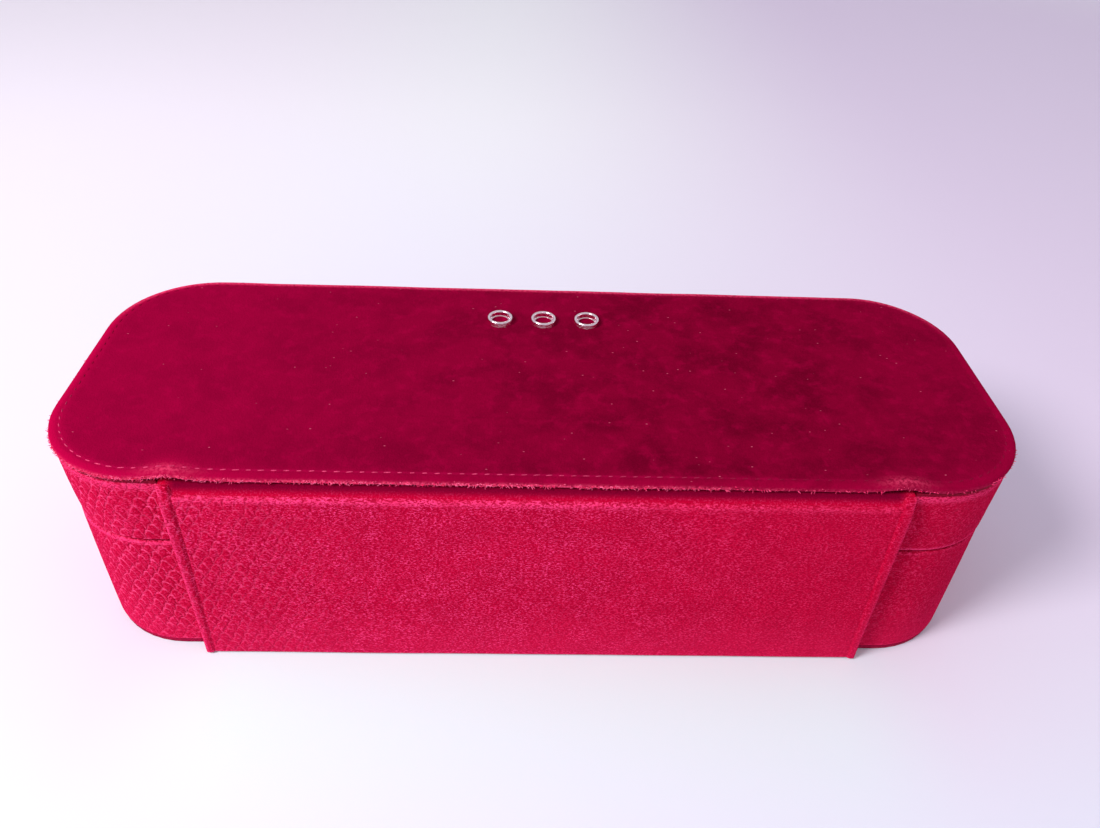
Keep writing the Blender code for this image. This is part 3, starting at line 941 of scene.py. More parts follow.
class StitchOperator(bpy.types.Operator):
    """Sews the line of stitches round the top panel"""

    bl_idname = "velvet_box.stitches"
    bl_label = "Stitches"

    def execute(self, context):
        sizes, colours = context.scene.velvet_box_sizes, context.scene.velvet_box_colours
        rng = random.Random(sizes.seed)
        around = outline_length(sizes.stitch_inset)
        count = round(around / sizes.stitch_pitch)
        bm = bmesh.new()
        thread_highlight = bm.verts.layers.float.new("thread_highlight")
        for number in range(count):
            place, away = outline_point(number * around / count, sizes.stitch_inset)
            at = Vector((place.x, place.y, PANEL_HIGH.z - 0.15 * MM))
            at += panel_sway(at, sizes)
            turn = math.atan2(away.y, away.x) + math.pi / 2 + 0.12 + rng.uniform(-0.08, 0.08)
            length = sizes.stitch_length * rng.uniform(0.7, 1.15)
            shape = (
                Matrix.Translation(at) @ Matrix.Rotation(turn, 4, "Z")
                @ Matrix.Diagonal((length / 2, sizes.thread / 2, sizes.thread / 2, 1))
            )
            made = bmesh.ops.create_uvsphere(bm, u_segments=6, v_segments=5, radius=1.0, matrix=shape)
            # Painted highlight on the thread: strong at the lit front-left, faint at the rear and right,
            # and varied stitch by stitch.
            front = ease(-place.y, 5 * MM, 38 * MM)
            highlight_share = 0.05 + 0.95 * front * (1 - 0.95 * ease(place.x, -30 * MM, 70 * MM))
            for vert in made["verts"]:
                vert[thread_highlight] = highlight_share * rng.choice((1.0, 1.0, 0.75, 0.4))
        finish_piece(bm, "panel_stitches", "lid", thread_material(colours))
        return {"FINISHED"}


class RimPileOperator(bpy.types.Operator):
    """Raises the cut pile that shows along the top panel's edge"""

    bl_idname = "velvet_box.rim_pile"
    bl_label = "Rim pile"

    def execute(self, context):
        sizes = context.scene.velvet_box_sizes
        rng = random.Random(sizes.seed + 1)
        around = outline_length(0)
        bm = bmesh.new()
        for number in range(round(around / sizes.tuft_pitch)):
            place, away = outline_point((number + rng.random()) * sizes.tuft_pitch, 0.0)
            front = ease(-place.y, 12 * MM, HALF_DEPTH - 2 * MM)
            fade = 1 - 0.80 * ease(place.x, 10 * MM, 80 * MM)
            clump = 0.5 + noise.noise(Vector((place.x * 110, place.y * 110, 1.7)))
            if rng.random() > (0.04 + 0.96 * front * fade) * (0.45 + 0.7 * clump):
                continue
            self.raise_tuft(bm, place, away, sizes, rng)
        finish_piece(bm, "rim_pile", "lid", pile_material())
        return {"FINISHED"}

    def raise_tuft(self, bm, place, away, sizes, rng):
        """One short tuft lying any way over the rim's face."""
        along = Vector((-away.y, away.x, 0))
        rise = rng.triangular(-0.10, 1.50, 0.60) * MM
        inset = 0.45 * MM * ease(rise, 0.9 * MM, 1.8 * MM)
        at = Vector((place.x - away.x * inset, place.y - away.y * inset, PANEL_LOW.z + rise))
        at += panel_sway(at, sizes)
        lean = Vector((away.x, away.y, 0)) * rng.uniform(0.3, 1.1)
        lean += along * rng.uniform(-1.0, 1.0) + Vector((0, 0, rng.uniform(-0.6, 0.9)))
        lean.normalize()
        length = rng.uniform(0.45, 1.05) * MM
        turn = lean.to_track_quat("Z", "Y").to_matrix().to_4x4()
        shape = Matrix.Translation(at + lean * length * 0.35) @ turn
        bmesh.ops.create_cone(
            bm, cap_ends=True, segments=3, radius1=rng.uniform(0.11, 0.19) * MM, radius2=0.05 * MM,
            depth=length, matrix=shape,
        )


class WallsOperator(bpy.types.Operator):
    """Covers the lid's and the base's walls in embossed velvet"""

    bl_idname = "velvet_box.walls"
    bl_label = "Walls"

    def execute(self, context):
        sizes, colours = context.scene.velvet_box_sizes, context.scene.velvet_box_colours
        material = embossed_velvet_material("wall_velvet", colours, sizes, fade_on_walls)
        gap = 0.20 * MM
        self.make_wall("base", BASE_LOW.z, BASE_HIGH.z - gap, 1.3 * MM, material, sizes)
        self.make_wall("lid", LID_LOW.z + gap, LID_HIGH.z, 0.5 * MM, material, sizes)
        return {"FINISHED"}

    def make_wall(self, body, low, top, inset_top, material, sizes):
        """One wall, with its lower edge inset a little and its cloth turned in over both edges."""
        inset_low, inner, spacing = 1.3 * MM, 4.3 * MM, 0.85 * MM
        round_low, round_top = 0.55 * MM, 0.8 * MM
        slant = 0.30 if body == "base" else 0.0
        steps = round((top - low - round_low - round_top) / spacing)
        stations = [(inner, low + 0.3 * MM), (inner - 0.3 * MM, low), (inset_low + 1.2 * MM, low)]
        stations += fold((inset_low + round_low, low), (inset_low, low + round_low), 4)
        for height in between(low + round_low, top - round_top, steps)[1:]:
            share = (height - low) / (top - low)
            stations.append((inset_low + (inset_top - inset_low) * share, height))
        shoulder = stations[-1][0]
        stations += fold((shoulder + round_top, top), (shoulder, top - round_top), 4)[-2::-1]
        stations += [(inset_top + 1.8 * MM, top), (inner - 0.3 * MM, top), (inner, top - 0.3 * MM)]
        bm = bmesh.new()
        swept_outline(bm, stations, spacing, closed=True)

        def cloth_place(co):
            along = distance_round(co.x, co.y)
            return along, co.z - slant * along

        def emboss(co):
            outside = 1 - ease(inset_of(co), 1.6 * MM, 2.2 * MM)
            within = ease(co.z, low + 0.5 * MM, low + 2.5 * MM)
            within *= 1 - ease(co.z, top - 3 * MM, top - 1 * MM)
            strength = 1 - 0.7 * ease(co.x, -100 * MM, 130 * MM)
            raised = sizes.emboss_depth * (scale_dome(*cloth_place(co), sizes) - 0.5) * strength
            puff = 0.10 * MM * math.sin(math.pi * (co.z - low) / (top - low))
            aside = 0.25 * MM * bell(co.z, LID_LOW.z, 6 * MM) if body == "lid" else 0
            return Vector((aside, 0, 0)) + outward(co.x, co.y) * outside * (within * raised + puff)

        self.paint_edge_highlights(bm, body)
        map_cloth(bm, cloth_place)
        move_points(bm, emboss)
        finish_piece(bm, f"{body}_velvet", body, material, [f"{body}_wall"])

    @staticmethod
    def paint_edge_highlights(bm, body):
        """Stores the painted highlights along the seam, under the panel and at the foot."""
        edge = bm.verts.layers.float.new("edge")
        for vert in bm.verts:
            # Painted highlights: the lid's lower edge towards the right, the base's upper edge towards the
            # left, under the panel and at the foot.
            right = ease(vert.co.x, -70 * MM, 70 * MM)
            seam = bell(abs(vert.co.z - SEAM), 0.95 * MM, 0.5 * MM)
            seam *= right if body == "lid" else 1 - 0.7 * right
            under_panel = 0.8 * bell(vert.co.z, LID_HIGH.z - 1.2 * MM, 1.2 * MM)
            foot = 0.5 * bell(vert.co.z, BASE_LOW.z, 0.9 * MM)
            vert[edge] = max(seam, under_panel, foot)


class FlapOperator(bpy.types.Operator):
    """Makes the stiff front flap: its velvet tray with hemmed ends, and its back cloth"""

    bl_idname = "velvet_box.flap"
    bl_label = "Front flap"

    def execute(self, context):
        sizes, colours = context.scene.velvet_box_sizes, context.scene.velvet_box_colours
        self.make_front(sizes, colours)
        self.make_back(colours)
        return {"FINISHED"}

    def make_front(self, sizes, colours):
        """A fine grid shaped into the covered board, then a tray of it folded round to the back."""
        half_x = FLAP_HIGH.x
        low, top, front, back = FLAP_LOW.z, FLAP_HIGH.z, FLAP_LOW.y, FLAP_HIGH.y
        bm = bmesh.new()
        bmesh.ops.create_grid(bm, x_segments=330, y_segments=104, size=1.0)
        bmesh.ops.rotate(bm, matrix=Matrix.Rotation(math.pi / 2, 3, "X"), verts=bm.verts)
        for vert in bm.verts:
            vert.co.x = self.crowd(vert.co.x, half_x, 8 * MM, 0.20)
            vert.co.z = (low + top) / 2 + self.crowd(vert.co.z, (top - low) / 2, 4 * MM, 0.24)
            vert.co.y = front
        map_cloth(bm, lambda co: (co.x + FLAP_CLOTH_START, co.z))
        rim = [e for e in bm.edges if e.is_boundary]
        self.paint_edge_highlights(bm)
        move_points(bm, lambda co: self.press(co, sizes))
        turn_in = 0.6 * MM
        loops = [(0.0, back - 0.5 * MM), (0.15 * MM, back - 0.1 * MM)]
        loops += [(turn_in, back), (turn_in, front + 0.9 * MM)]
        for inset, depth in loops:
            moved, rim = extrude_loop(bm, rim)
            for vert in moved:
                near_top = vert.co.z > top - 1 * MM
                vert.co.y = depth if inset else max(vert.co.y, depth)
                vert.co.x = max(-half_x + inset, min(half_x - inset, vert.co.x))
                vert.co.z = max(low + inset, min(top + FLAP_RISE - inset, vert.co.z - inset * near_top))
        cap(bm, rim)
        material = embossed_velvet_material("flap_velvet", colours, sizes, fade_on_flap)
        finish_piece(bm, "flap_velvet", "flap", material, ["flap_cover"])

    @staticmethod
    def gaps(co):
        """How far a point of the front is from the nearer end, the top and the lower edge."""
        return FLAP_HIGH.x - abs(co.x), FLAP_HIGH.z - co.z, co.z - FLAP_LOW.z

    def paint_edge_highlights(self, bm):
        """Stores the painted highlights along the flap's edges."""
        edge = bm.verts.layers.float.new("edge")
        for vert in bm.verts:
            from_end, from_top, from_low = self.gaps(vert.co)
            # Painted highlights along the top, the ends and the lower edge, stronger towards the lit left.
            side = 1 - 0.45 * ease(vert.co.x, 0, 50 * MM)
            at_top = 0.55 * side * bell(from_top, 1.3 * MM, 1.0 * MM) * ease(from_end, 2 * MM, 6 * MM)
            at_end = 0.6 * side * bell(from_end, 0.6 * MM, 0.7 * MM)
            vert[edge] = max(at_top, at_end, 0.4 * bell(from_low, 0.4 * MM, 0.6 * MM))

    def press(self, co, sizes):
        """The front's rounded edges, raised end hems with a crease beside them, and pressed scales."""
        from_end, from_top, from_low = self.gaps(co)
        height = ease(co.z, FLAP_LOW.z, FLAP_HIGH.z)
        reach = (1 - ease(from_end, 2.6 * MM, 4.2 * MM)) * (1 - ease(from_top, 0, 3.5 * MM))
        top_radius = 2.0 * MM - 1.2 * MM * reach
        drop = 0.0
        for gap, radius in ((from_end, 0.9 * MM), (from_low, 0.6 * MM), (from_top, top_radius)):
            if gap < radius:
                drop = max(drop, radius - math.sqrt(max(0.0, radius**2 - (radius - gap) ** 2)))
        width = sizes.hem_width * (0.75 + 0.25 * height)
        hem = 1 - ease(from_end, width - 0.45 * MM, width + 0.15 * MM)
        rolled = 0.55 + 0.45 * bell(from_end, width * 0.45, width * 0.5)
        crease = bell(from_end, width + 0.35 * MM, 0.35 * MM) * (0.4 + 0.6 * height)
        crease *= 1 - 0.6 * ease(co.x, 0, 50 * MM)
        within = ease(from_end, width, width + 2 * MM) * ease(from_top, 1.6 * MM, 4 * MM)
        within *= ease(from_low, 1 * MM, 2.5 * MM)
        strength = 1 - 0.75 * ease(co.x, -95 * MM, -25 * MM)
        dome = scale_dome(co.x + FLAP_CLOTH_START, co.z, sizes)
        soft = uneven(co.x * 30, co.z * 30, 5.0, 0.12 * MM)
        soft += uneven(co.x * 350, co.z * 350, 2.0, 0.07 * MM) * bell(from_top, 1.8 * MM, 1.2 * MM)
        out = 0.32 * MM * crease - sizes.hem_rise * hem * rolled
        out -= sizes.emboss_depth * (dome - 0.5) * strength * within
        return Vector((0, drop + out + soft + 1.1 * MM * reach, FLAP_RISE * reach))

    @staticmethod
    def crowd(share, half, margin, margin_share):
        """A place from -half to half for a share from -1 to 1, with more of the shares near the ends."""
        reach = abs(share)
        if reach > 1 - margin_share:
            place = half - margin * (1 - reach) / margin_share
        else:
            place = (half - margin) * reach / (1 - margin_share)
        return math.copysign(place, share)

    def make_back(self, colours):
        low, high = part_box("flap_lining")
        bm = bmesh.new()
        bmesh.ops.create_grid(bm, x_segments=80, y_segments=26, size=1.0)
        bmesh.ops.rotate(bm, matrix=Matrix.Rotation(-math.pi / 2, 3, "X"), verts=bm.verts)
        bmesh.ops.scale(bm, vec=(high.x, 1, (high.z - low.z) / 2), verts=bm.verts)
        bmesh.ops.translate(bm, vec=(0, high.y, (low.z + high.z) / 2), verts=bm.verts)
        rim = [e for e in bm.edges if e.is_boundary]

        def soften(co):
            from_end = min(high.x - abs(co.x), co.z - low.z, high.z - co.z)
            edge = 0.18 * MM * (1 - ease(from_end, 0, 1.2 * MM))
            return Vector((0, uneven(co.x * 40, co.z * 40, 2.0, 0.06 * MM) - edge, 0))

        move_points(bm, soften)
        moved, back_rim = extrude_loop(bm, rim)
        for vert in moved:
            vert.co.y = low.y
        cap(bm, back_rim)
        material = plain_velvet_material("flap_back_velvet", colours.lining)
        finish_piece(bm, "flap_back_cloth", "flap", material, ["flap_lining"])


class HingeClothOperator(bpy.types.Operator):
    """Makes the velvet at the flap's top fold and along the rear seam"""

    bl_idname = "velvet_box.hinge_cloths"
    bl_label = "Hinge cloths"

    def execute(self, context):
        colours = context.scene.velvet_box_colours
        self.make_flap_fold(colours)
        self.make_rear_strip(context, colours)
        return {"FINISHED"}

    @staticmethod
    def cloth_strip(path, half_width, thickness, columns):
        """A strip of cloth of this thickness along a (y, z) path, with rounded long edges."""
        bm = bmesh.new()
        sides = []
        for index, (y, z) in enumerate(path):
            before = path[max(0, index - 1)]
            after = path[min(len(path) - 1, index + 1)]
            run = Vector((after[0] - before[0], after[1] - before[1])).normalized()
            sides.append((y - run.y * thickness / 2, z + run.x * thickness / 2))
        for index in reversed(range(len(path))):
            y, z = path[index]
            sides.append((2 * y - sides[index][0], 2 * z - sides[index][1]))
        verts = [bm.verts.new((-half_width, y, z)) for y, z in sides]
        first = [bm.edges.new(pair) for pair in zip(verts, verts[1:] + verts[:1])]
        loop = first
        for _ in range(columns):
            moved, loop = extrude_loop(bm, loop)
            bmesh.ops.translate(bm, vec=(2 * half_width / columns, 0, 0), verts=moved)
        cap(bm, first, loop)
        return bm

    def make_flap_fold(self, colours):
        """From the tongue glued under the panel, down past the fold, onto the flap's top."""
        low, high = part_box("flap_tongue")
        middle = (low.z + high.z) / 2
        flap_top = FLAP_HIGH.z
        path = [(y, middle) for y in between(high.y, low.y + 1.6 * MM, 4)]
        curve = [
            Vector((low.y + 1.0 * MM, middle)), Vector((low.y - 0.7 * MM, middle)),
            Vector((low.y - 0.1 * MM, flap_top + 0.5 * MM)),
            Vector((low.y - 1.6 * MM, flap_top - 0.4 * MM)),
        ]
        for share in between(0.0, 1.0, 14):
            points = curve
            while len(points) > 1:
                points = [a.lerp(b, share) for a, b in zip(points, points[1:])]
            path.append(tuple(points[0]))
        half_x = FLAP_HIGH.x - 0.3 * MM
        bm = self.cloth_strip(path, half_x, 0.45 * MM, 140)
        deep = bm.verts.layers.float.new("deep")
        for vert in bm.verts:
            hem = 1 - ease(half_x - abs(vert.co.x), 1.8 * MM, 3.6 * MM)
            seen = bell(vert.co.z, flap_top + 1.4 * MM, 1.6 * MM)
            seen *= ease(low.y + 1.5 * MM - vert.co.y, 0, 1.5 * MM)
            # deep: painted shade where the fold turns under the panel.
            vert[deep] = (1 - hem) * ease(vert.co.z, flap_top - 0.8 * MM, flap_top + 2.1 * MM)
            vert.co.y -= 0.5 * MM * hem * seen
        material = fold_velvet_material(colours)
        piece = finish_piece(bm, "flap_fold_cloth", None, material, ["flap_tongue"], 80)
        start, end = (0, low.y, middle - 0.1 * MM), (0, low.y - 0.9 * MM, flap_top + 0.3 * MM)
        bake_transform(piece)
        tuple(start)
        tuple(end)
        length = sum(math.dist(a, b) for a, b in zip(path, path[1:]))

    def make_rear_strip(self, context, colours):
        """Glued down the base's wall and up the lid's, over the seam."""
        sizes = context.scene.velvet_box_sizes
        low, lower_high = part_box("hinge_strip_lower")
        upper_low, upper_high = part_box("hinge_strip_upper")
        thickness = 0.9 * MM
        skin = lower_high.y - thickness / 2
        heights = between(low.z, SEAM - 3 * MM, 14) + between(SEAM - 2.6 * MM, SEAM + 2.6 * MM, 13)
        heights += between(SEAM + 3 * MM, upper_high.z, 8)
        lean = (upper_high.y - lower_high.y) / (upper_high.z - upper_low.z)
        path = [(skin + max(0, z - SEAM) * lean, z) for z in heights]
        bm = self.cloth_strip(path, upper_high.x, thickness, 60)
        map_cloth(bm, lambda co: (co.x + REAR_CLOTH_START, co.z))
        material = embossed_velvet_material("rear_velvet", colours, sizes, fade_on_walls)
        strips = ["hinge_strip_lower", "hinge_strip_upper"]
        piece = finish_piece(bm, "rear_hinge_cloth", None, material, strips)
        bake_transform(piece)


class BottomOperator(bpy.types.Operator):
    """Makes the paper covered bottom panel"""

    bl_idname = "velvet_box.bottom"
    bl_label = "Bottom panel"

    def execute(self, context):
        low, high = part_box("bottom_panel")
        inset = HALF_LENGTH - high.x
        soft = 0.35 * MM
        stations = [(inset + 6 * MM, low.z), (inset + 2 * MM, low.z)]
        stations += fold((inset + soft, low.z), (inset, low.z + soft), 3)
        stations += fold((inset + soft, high.z), (inset, high.z - soft), 3)[::-1]
        stations += [(inset + 2 * MM, high.z), (inset + 6 * MM, high.z)]
        bm = capped_outline(stations, 3 * MM)
        material = board_material("base_paper", BASE_PAPER)
        finish_piece(bm, "bottom_cover", "base", material, ["bottom_panel"])
        return {"FINISHED"}


class LiningOperator(bpy.types.Operator):
    """Lines the base and the lid in plain velvet"""

    bl_idname = "velvet_box.linings"
    bl_label = "Linings"

    def execute(self, context):
        colours = context.scene.velvet_box_colours
        material = plain_velvet_material("lining_velvet", colours.lining)
        for body in ("base", "lid"):
            self.make_lining(body, material)
        return {"FINISHED"}

    def make_lining(self, body, material):
        """A sleeve of lined board whose free edge, at the mouth, is rounded over."""
        low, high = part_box(f"{body}_lining")
        outer, half = HALF_LENGTH - high.x, 0.6 * MM
        inner = outer + 2 * half
        root, mouth = (low.z, high.z) if body == "base" else (high.z, low.z)
        inward = 1 if mouth > root else -1
        lip = mouth - inward * half
        stations = [(outer, root + (mouth - root) * share) for share in (0, 0.25, 0.5, 0.75)]
        stations.append((outer, lip))
        for degrees in (45, 90, 135):
            turn = math.radians(degrees)
            stations.append((outer + half - half * math.cos(turn), lip + inward * half * math.sin(turn)))
        stations.append((inner, lip))
        shares = (0.9, 0.75, 0.6, 0.45, 0.3, 0.15, 0)
        stations += [(inner, root + (mouth - root) * share) for share in shares]
        bm = bmesh.new()
        swept_outline(bm, stations, 3 * MM, closed=True)

        def ripple(co):
            share = ease(inset_of(co), outer + 0.8 * MM, inner)
            free = ease(abs(co.z - root), 0, 4 * MM) * ease(abs(co.z - mouth), 0, 4 * MM)
            return outward(co.x, co.y) * share * free * uneven(co.x * 38, co.y * 38, co.z * 38, 0.22 * MM)

        move_points(bm, ripple)
        finish_piece(bm, f"{body}_lining_cloth", body, material, [f"{body}_lining"])


class PadOperator(bpy.types.Operator):
    """Pads the base's floor and the lid's ceiling"""

    bl_idname = "velvet_box.pads"
    bl_label = "Pads"

    def execute(self, context):
        colours = context.scene.velvet_box_colours
        material = plain_velvet_material("pad_velvet", colours.lining)
        self.make_pad("floor", "base", 0.15 * MM, material)
        self.make_pad("lid", "lid", 0.9 * MM, material)
        return {"FINISHED"}

    def make_pad(self, word, body, crown, material):
        """A flat pad whose free face crowns out between its edge and, in the lid, the mirror's edge."""
        low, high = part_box(f"{word}_pad")
        inset = HALF_LENGTH - high.x
        glued, face, out = (low.z, high.z, 1) if body == "base" else (high.z, low.z, -1)
        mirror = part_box("lid_mirror")[1]
        stations = [(inset, glued), (inset, face - out * 0.9 * MM)]
        stations += [(inset + 0.25 * MM, face - out * 0.35 * MM), (inset + 0.8 * MM, face)]
        stations += [(inset + i * MM, face) for i in (1.6, 2.6, 4, 5.5, 7, 8.5, 10, 12, 14, 16, 18, 20, 22)]
        bm = capped_outline(stations, 3 * MM)

        def puff(co):
            if abs(co.z - face) > 0.05 * MM:
                return Vector((0, 0, 0))
            depth = inset_of(co) - inset
            swell = ease(depth, 0, 5 * MM)
            if body == "lid":
                gap = max(abs(co.x) - mirror.x, abs(co.y) - mirror.y)
                swell *= ease(gap, -0.5 * MM, 5 * MM)
            wave = 0.85 + 0.5 * noise.noise(Vector((co.x * 35, co.y * 35, 4.0)))
            return Vector((0, 0, out * crown * swell * wave))

        move_points(bm, puff)
        piece = finish_piece(bm, f"{word}_cushion", body, material, [f"{word}_pad"])


class DividerOperator(bpy.types.Operator):
    """Covers the two dividers in velvet"""

    bl_idname = "velvet_box.dividers"
    bl_label = "Dividers"

    def execute(self, context):
        colours = context.scene.velvet_box_colours
        material = plain_velvet_material("divider_velvet", colours.lining)
        for word in ("left", "right"):
            low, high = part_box(f"divider_{word}")
            size = high - low
            bm = bmesh.new()
            bmesh.ops.create_cube(bm, size=1.0)
            bmesh.ops.scale(bm, vec=size, verts=bm.verts)
            long_edges = [e for e in bm.edges if abs(e.verts[0].co.y - e.verts[1].co.y) > size.y / 2]
            bmesh.ops.subdivide_edges(bm, edges=long_edges, cuts=23, use_grid_fill=True)
            tall_edges = [e for e in bm.edges if abs(e.verts[0].co.z - e.verts[1].co.z) > size.z / 2]
            bmesh.ops.subdivide_edges(bm, edges=tall_edges, cuts=11, use_grid_fill=True)
            rims = [e for e in bm.edges if e.calc_face_angle(0) > math.radians(60)]
            bevel_edges(bm, rims, 0.8 * MM, 4, clamp=True)
            bmesh.ops.translate(bm, vec=(low + high) / 2, verts=bm.verts)
            move_points(bm, lambda co: Vector((uneven(*(co * 60), 0.16 * MM), 0, 0)))
            name, node = f"divider_cloth_{word}", f"divider_{word}"
            finish_piece(bm, name, "base", material, [node])
        return {"FINISHED"}


class RingRollOperator(bpy.types.Operator):
    """Stuffs the ring rolls, as foam under velvet"""

    bl_idname = "velvet_box.ring_rolls"
    bl_label = "Ring rolls"

    def execute(self, context):
        colours = context.scene.velvet_box_colours
        material = plain_velvet_material("roll_velvet", colours.lining)
        low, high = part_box("ring_roll_3")
        stuffed = self.stuffed_roll(context, low, high)
        for number in range(1, 6):
            node = f"ring_roll_{number}"
            node_low, node_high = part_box(node)
            bm = bmesh.new()
            bm.from_mesh(stuffed)
            if number % 2:
                bmesh.ops.rotate(bm, matrix=Matrix.Rotation(math.pi, 3, "Z"), verts=bm.verts)
            bmesh.ops.translate(bm, vec=(node_low + node_high) / 2, verts=bm.verts)
            name = f"ring_roll_cloth_{number}"
            piece = finish_piece(bm, name, "base", material, [node], 60)
        return {"FINISHED"}

    def stuffed_roll(self, context, low, high):
        """One roll about the origin, blown up a little by cloth simulation and held to its CAD size."""
        size = high - low
        bm = bmesh.new()
        bmesh.ops.create_cube(bm, size=1.0)
        bmesh.ops.scale(bm, vec=(size.x - 2.4 * MM, size.y - 2.2 * MM, size.z - 1.6 * MM), verts=bm.verts)
        upper = [e for e in bm.edges if all(v.co.z > 0 for v in e.verts)]
        top_edges = [e for e in upper if abs(e.verts[0].co.x - e.verts[1].co.x) > size.x / 2]
        bevel_edges(bm, top_edges, size.y / 2 - 1.2 * MM, 10)
        mesh = bpy.data.meshes.new("stuffed_roll")
        bm.to_mesh(mesh)
        bm.free()
        roll = bpy.data.objects.new("stuffed_roll", mesh)
        context.scene.collection.objects.link(roll)
        context.view_layer.objects.active = roll
        remesh = roll.modifiers.new("Remesh", "REMESH")
        remesh.mode = "VOXEL"
        remesh.voxel_size = 1.5 * MM
        self.blow_up(context, roll)
        graph = context.evaluated_depsgraph_get()
        stuffed = bpy.data.meshes.new_from_object(roll.evaluated_get(graph), depsgraph=graph)
        context.scene.frame_set(1)
        bpy.data.objects.remove(roll)
        half = size / 2
        for vert in stuffed.vertices:
            vert.co = [max(-limit, min(limit, part)) for part, limit in zip(vert.co, half)]
        return stuffed

    @staticmethod
    def blow_up(context, roll):
        """Swells the roll with light air pressure over a few frames, weightless."""
        frame_count = 12
        cloth = roll.modifiers.new("Cloth", "CLOTH")
        settings = {
            "quality": 4, "mass": 0.15, "tension_stiffness": 12, "compression_stiffness": 12,
            "shear_stiffness": 6, "use_pressure": True, "uniform_pressure_force": 3,
        }
        for name, value in settings.items():
            setattr(cloth.settings, name, value)
        cloth.settings.effector_weights.gravity = 0
        cloth.collision_settings.use_collision = False
        cloth.point_cache.frame_start = 1
        cloth.point_cache.frame_end = frame_count
        for number in range(1, frame_count + 1):
            context.scene.frame_set(number)


class MirrorOperator(bpy.types.Operator):
    """Makes the lid's mirror, with a ground bevel"""

    bl_idname = "velvet_box.mirror"
    bl_label = "Lid mirror"

    def execute(self, context):
        low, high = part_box("lid_mirror")
        bm = bmesh.new()
        loop = rounded_loop(bm, high.x, high.y, 8 * MM, high.z, 2 * MM)
        face = bmesh.ops.contextual_create(bm, geom=loop)["faces"]
        made = bmesh.ops.extrude_face_region(bm, geom=face)["geom"]
        bmesh.ops.translate(bm, vec=(0, 0, low.z - high.z), verts=verts_of(made))
        highlight_share = [e for e in bm.edges if all(abs(v.co.z - low.z) < 0.01 * MM for v in e.verts)]
        rim = [e for e in highlight_share if len(e.link_faces) == 2]
        bevel_edges(bm, rim, 1.1 * MM, 1)
        finish_piece(bm, "lid_mirror_glass", "lid", mirror_material(), ["lid_mirror"], 15)
        return {"FINISHED"}


class StudOperator(bpy.types.Operator):
    """Turns the three polished ring studs"""

    bl_idname = "velvet_box.studs"
    bl_label = "Ring studs"

    def execute(self, context):
        material = polished_metal_material()
        for word in ("left", "middle", "right"):
            self.make_stud(word, material)
        return {"FINISHED"}

    def make_stud(self, word, material):
        low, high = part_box(f"ring_stud_{word}")
        centre = (low + high) / 2
        outer = (high.y - low.y) / 2
        foot = PANEL_HIGH.z - 0.10 * MM
        lip = 0.46 * MM
        crown, middle = high.z - lip, outer - lip
        wall, bore = outer - 0.40 * MM, middle - lip
        profile = [(wall + 0.26 * MM, foot), (wall, crown - 0.40 * MM)]
        profile.append((wall + 0.16 * MM, crown - 0.26 * MM))
        for turn in between(0, math.pi, 7):
            profile.append((middle + lip * math.cos(turn), crown + lip * math.sin(turn)))
        profile += [
            (bore - 0.02 * MM, crown - 0.4 * MM), (bore - 0.05 * MM, foot + 0.2 * MM),
            (bore - 0.35 * MM, foot + 0.1 * MM), (bore - 0.35 * MM, foot),
        ]
        bm = bmesh.new()
        verts = [bm.verts.new((centre.x + r, centre.y, z)) for r, z in profile]
        edges = [bm.edges.new(pair) for pair in zip(verts, verts[1:] + verts[:1])]
        bmesh.ops.spin(
            bm, geom=edges, cent=(centre.x, centre.y, 0), axis=(0, 0, 1), angle=math.tau, steps=64,
            use_merge=True,
        )
        bmesh.ops.remove_doubles(bm, verts=bm.verts, dist=0.005 * MM)
        finish_piece(bm, f"stud_{word}", "lid", material, [f"ring_stud_{word}"])


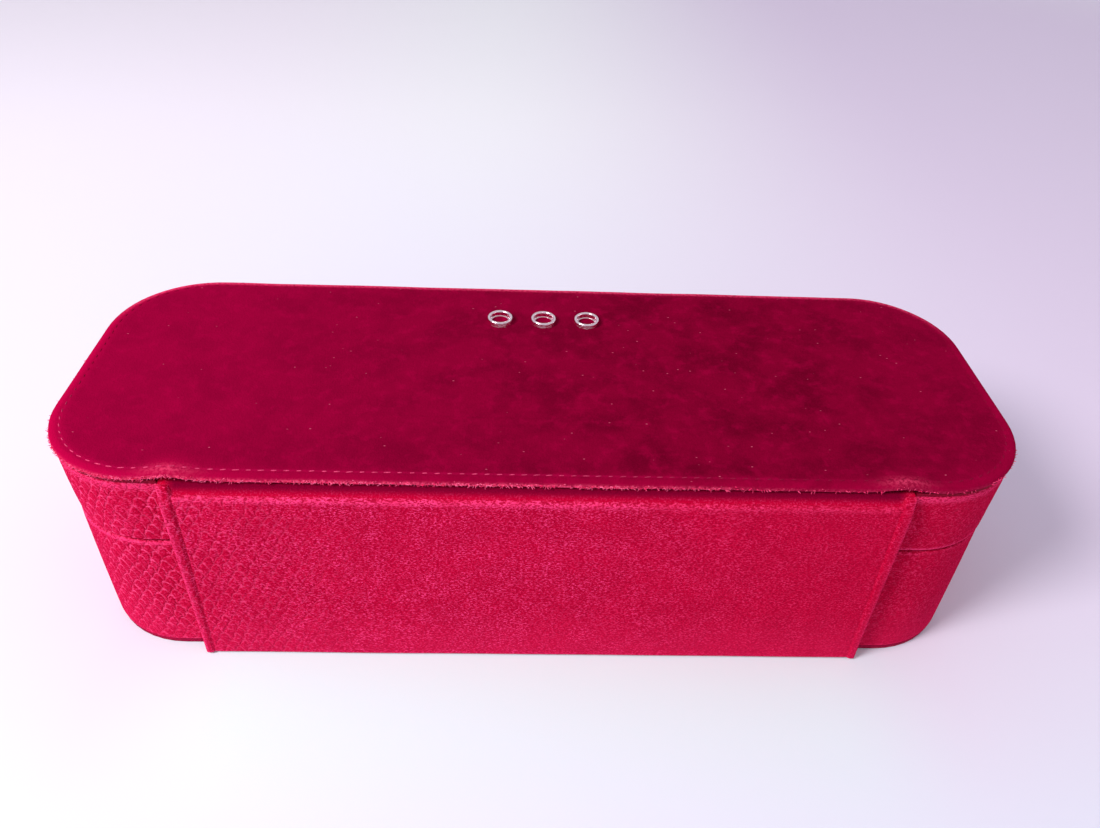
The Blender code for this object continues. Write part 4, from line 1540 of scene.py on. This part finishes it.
class HiddenPiecesOperator(bpy.types.Operator):
    """Finishes the boards and magnets that stay as they were built"""

    bl_idname = "velvet_box.hidden_pieces"
    bl_label = "Boards and magnets"

    def execute(self, context):
        board, magnet = board_material("grey_board", GREY_BOARD), magnet_material()
        finishes = {node: board for node in ("base_board", "lid_board", "flap_board")}
        finishes["panel_backing"] = board_material("panel_paper", PANEL_PAPER)
        for body in ("base", "flap"):
            finishes[f"{body}_magnet_left"] = magnet
            finishes[f"{body}_magnet_right"] = magnet
        for node, material in finishes.items():
            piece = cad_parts[node]
            piece.data.materials.clear()
            piece.data.materials.append(material)
        return {"FINISHED"}


PIECE_OPERATORS = (
    StageOperator, TopPanelOperator, StitchOperator, RimPileOperator, WallsOperator, FlapOperator,
    HingeClothOperator, BottomOperator, LiningOperator, PadOperator, DividerOperator, RingRollOperator,
    MirrorOperator, StudOperator, HiddenPiecesOperator,
)


class VelvetBoxPanel(bpy.types.Panel):
    """The maker's steps and sizes"""

    bl_idname = "VIEW3D_PT_velvet_box"
    bl_label = "Velvet Box"
    bl_space_type = "VIEW_3D"
    bl_region_type = "UI"
    bl_category = "Velvet Box"

    def draw(self, context):
        layout = self.layout
        for group in (context.scene.velvet_box_sizes, context.scene.velvet_box_colours):
            for name in group.bl_rna.properties.keys():
                if name not in ("rna_type", "name"):
                    layout.prop(group, name)
        for operator in PIECE_OPERATORS:
            layout.operator(operator.bl_idname)


CLASSES = (VelvetBoxSizes, VelvetBoxColours, *PIECE_OPERATORS, VelvetBoxPanel)


def register():
    for made in CLASSES:
        bpy.utils.register_class(made)
    bpy.types.Scene.velvet_box_sizes = PointerProperty(type=VelvetBoxSizes)
    bpy.types.Scene.velvet_box_colours = PointerProperty(type=VelvetBoxColours)


def unregister():
    del bpy.types.Scene.velvet_box_colours
    del bpy.types.Scene.velvet_box_sizes
    for made in reversed(CLASSES):
        bpy.utils.unregister_class(made)


def main():
    register()
    for operator in PIECE_OPERATORS:
        group, name = operator.bl_idname.split(".")
        getattr(getattr(bpy.ops, group), name)()


if __name__ == "__main__":
    main()
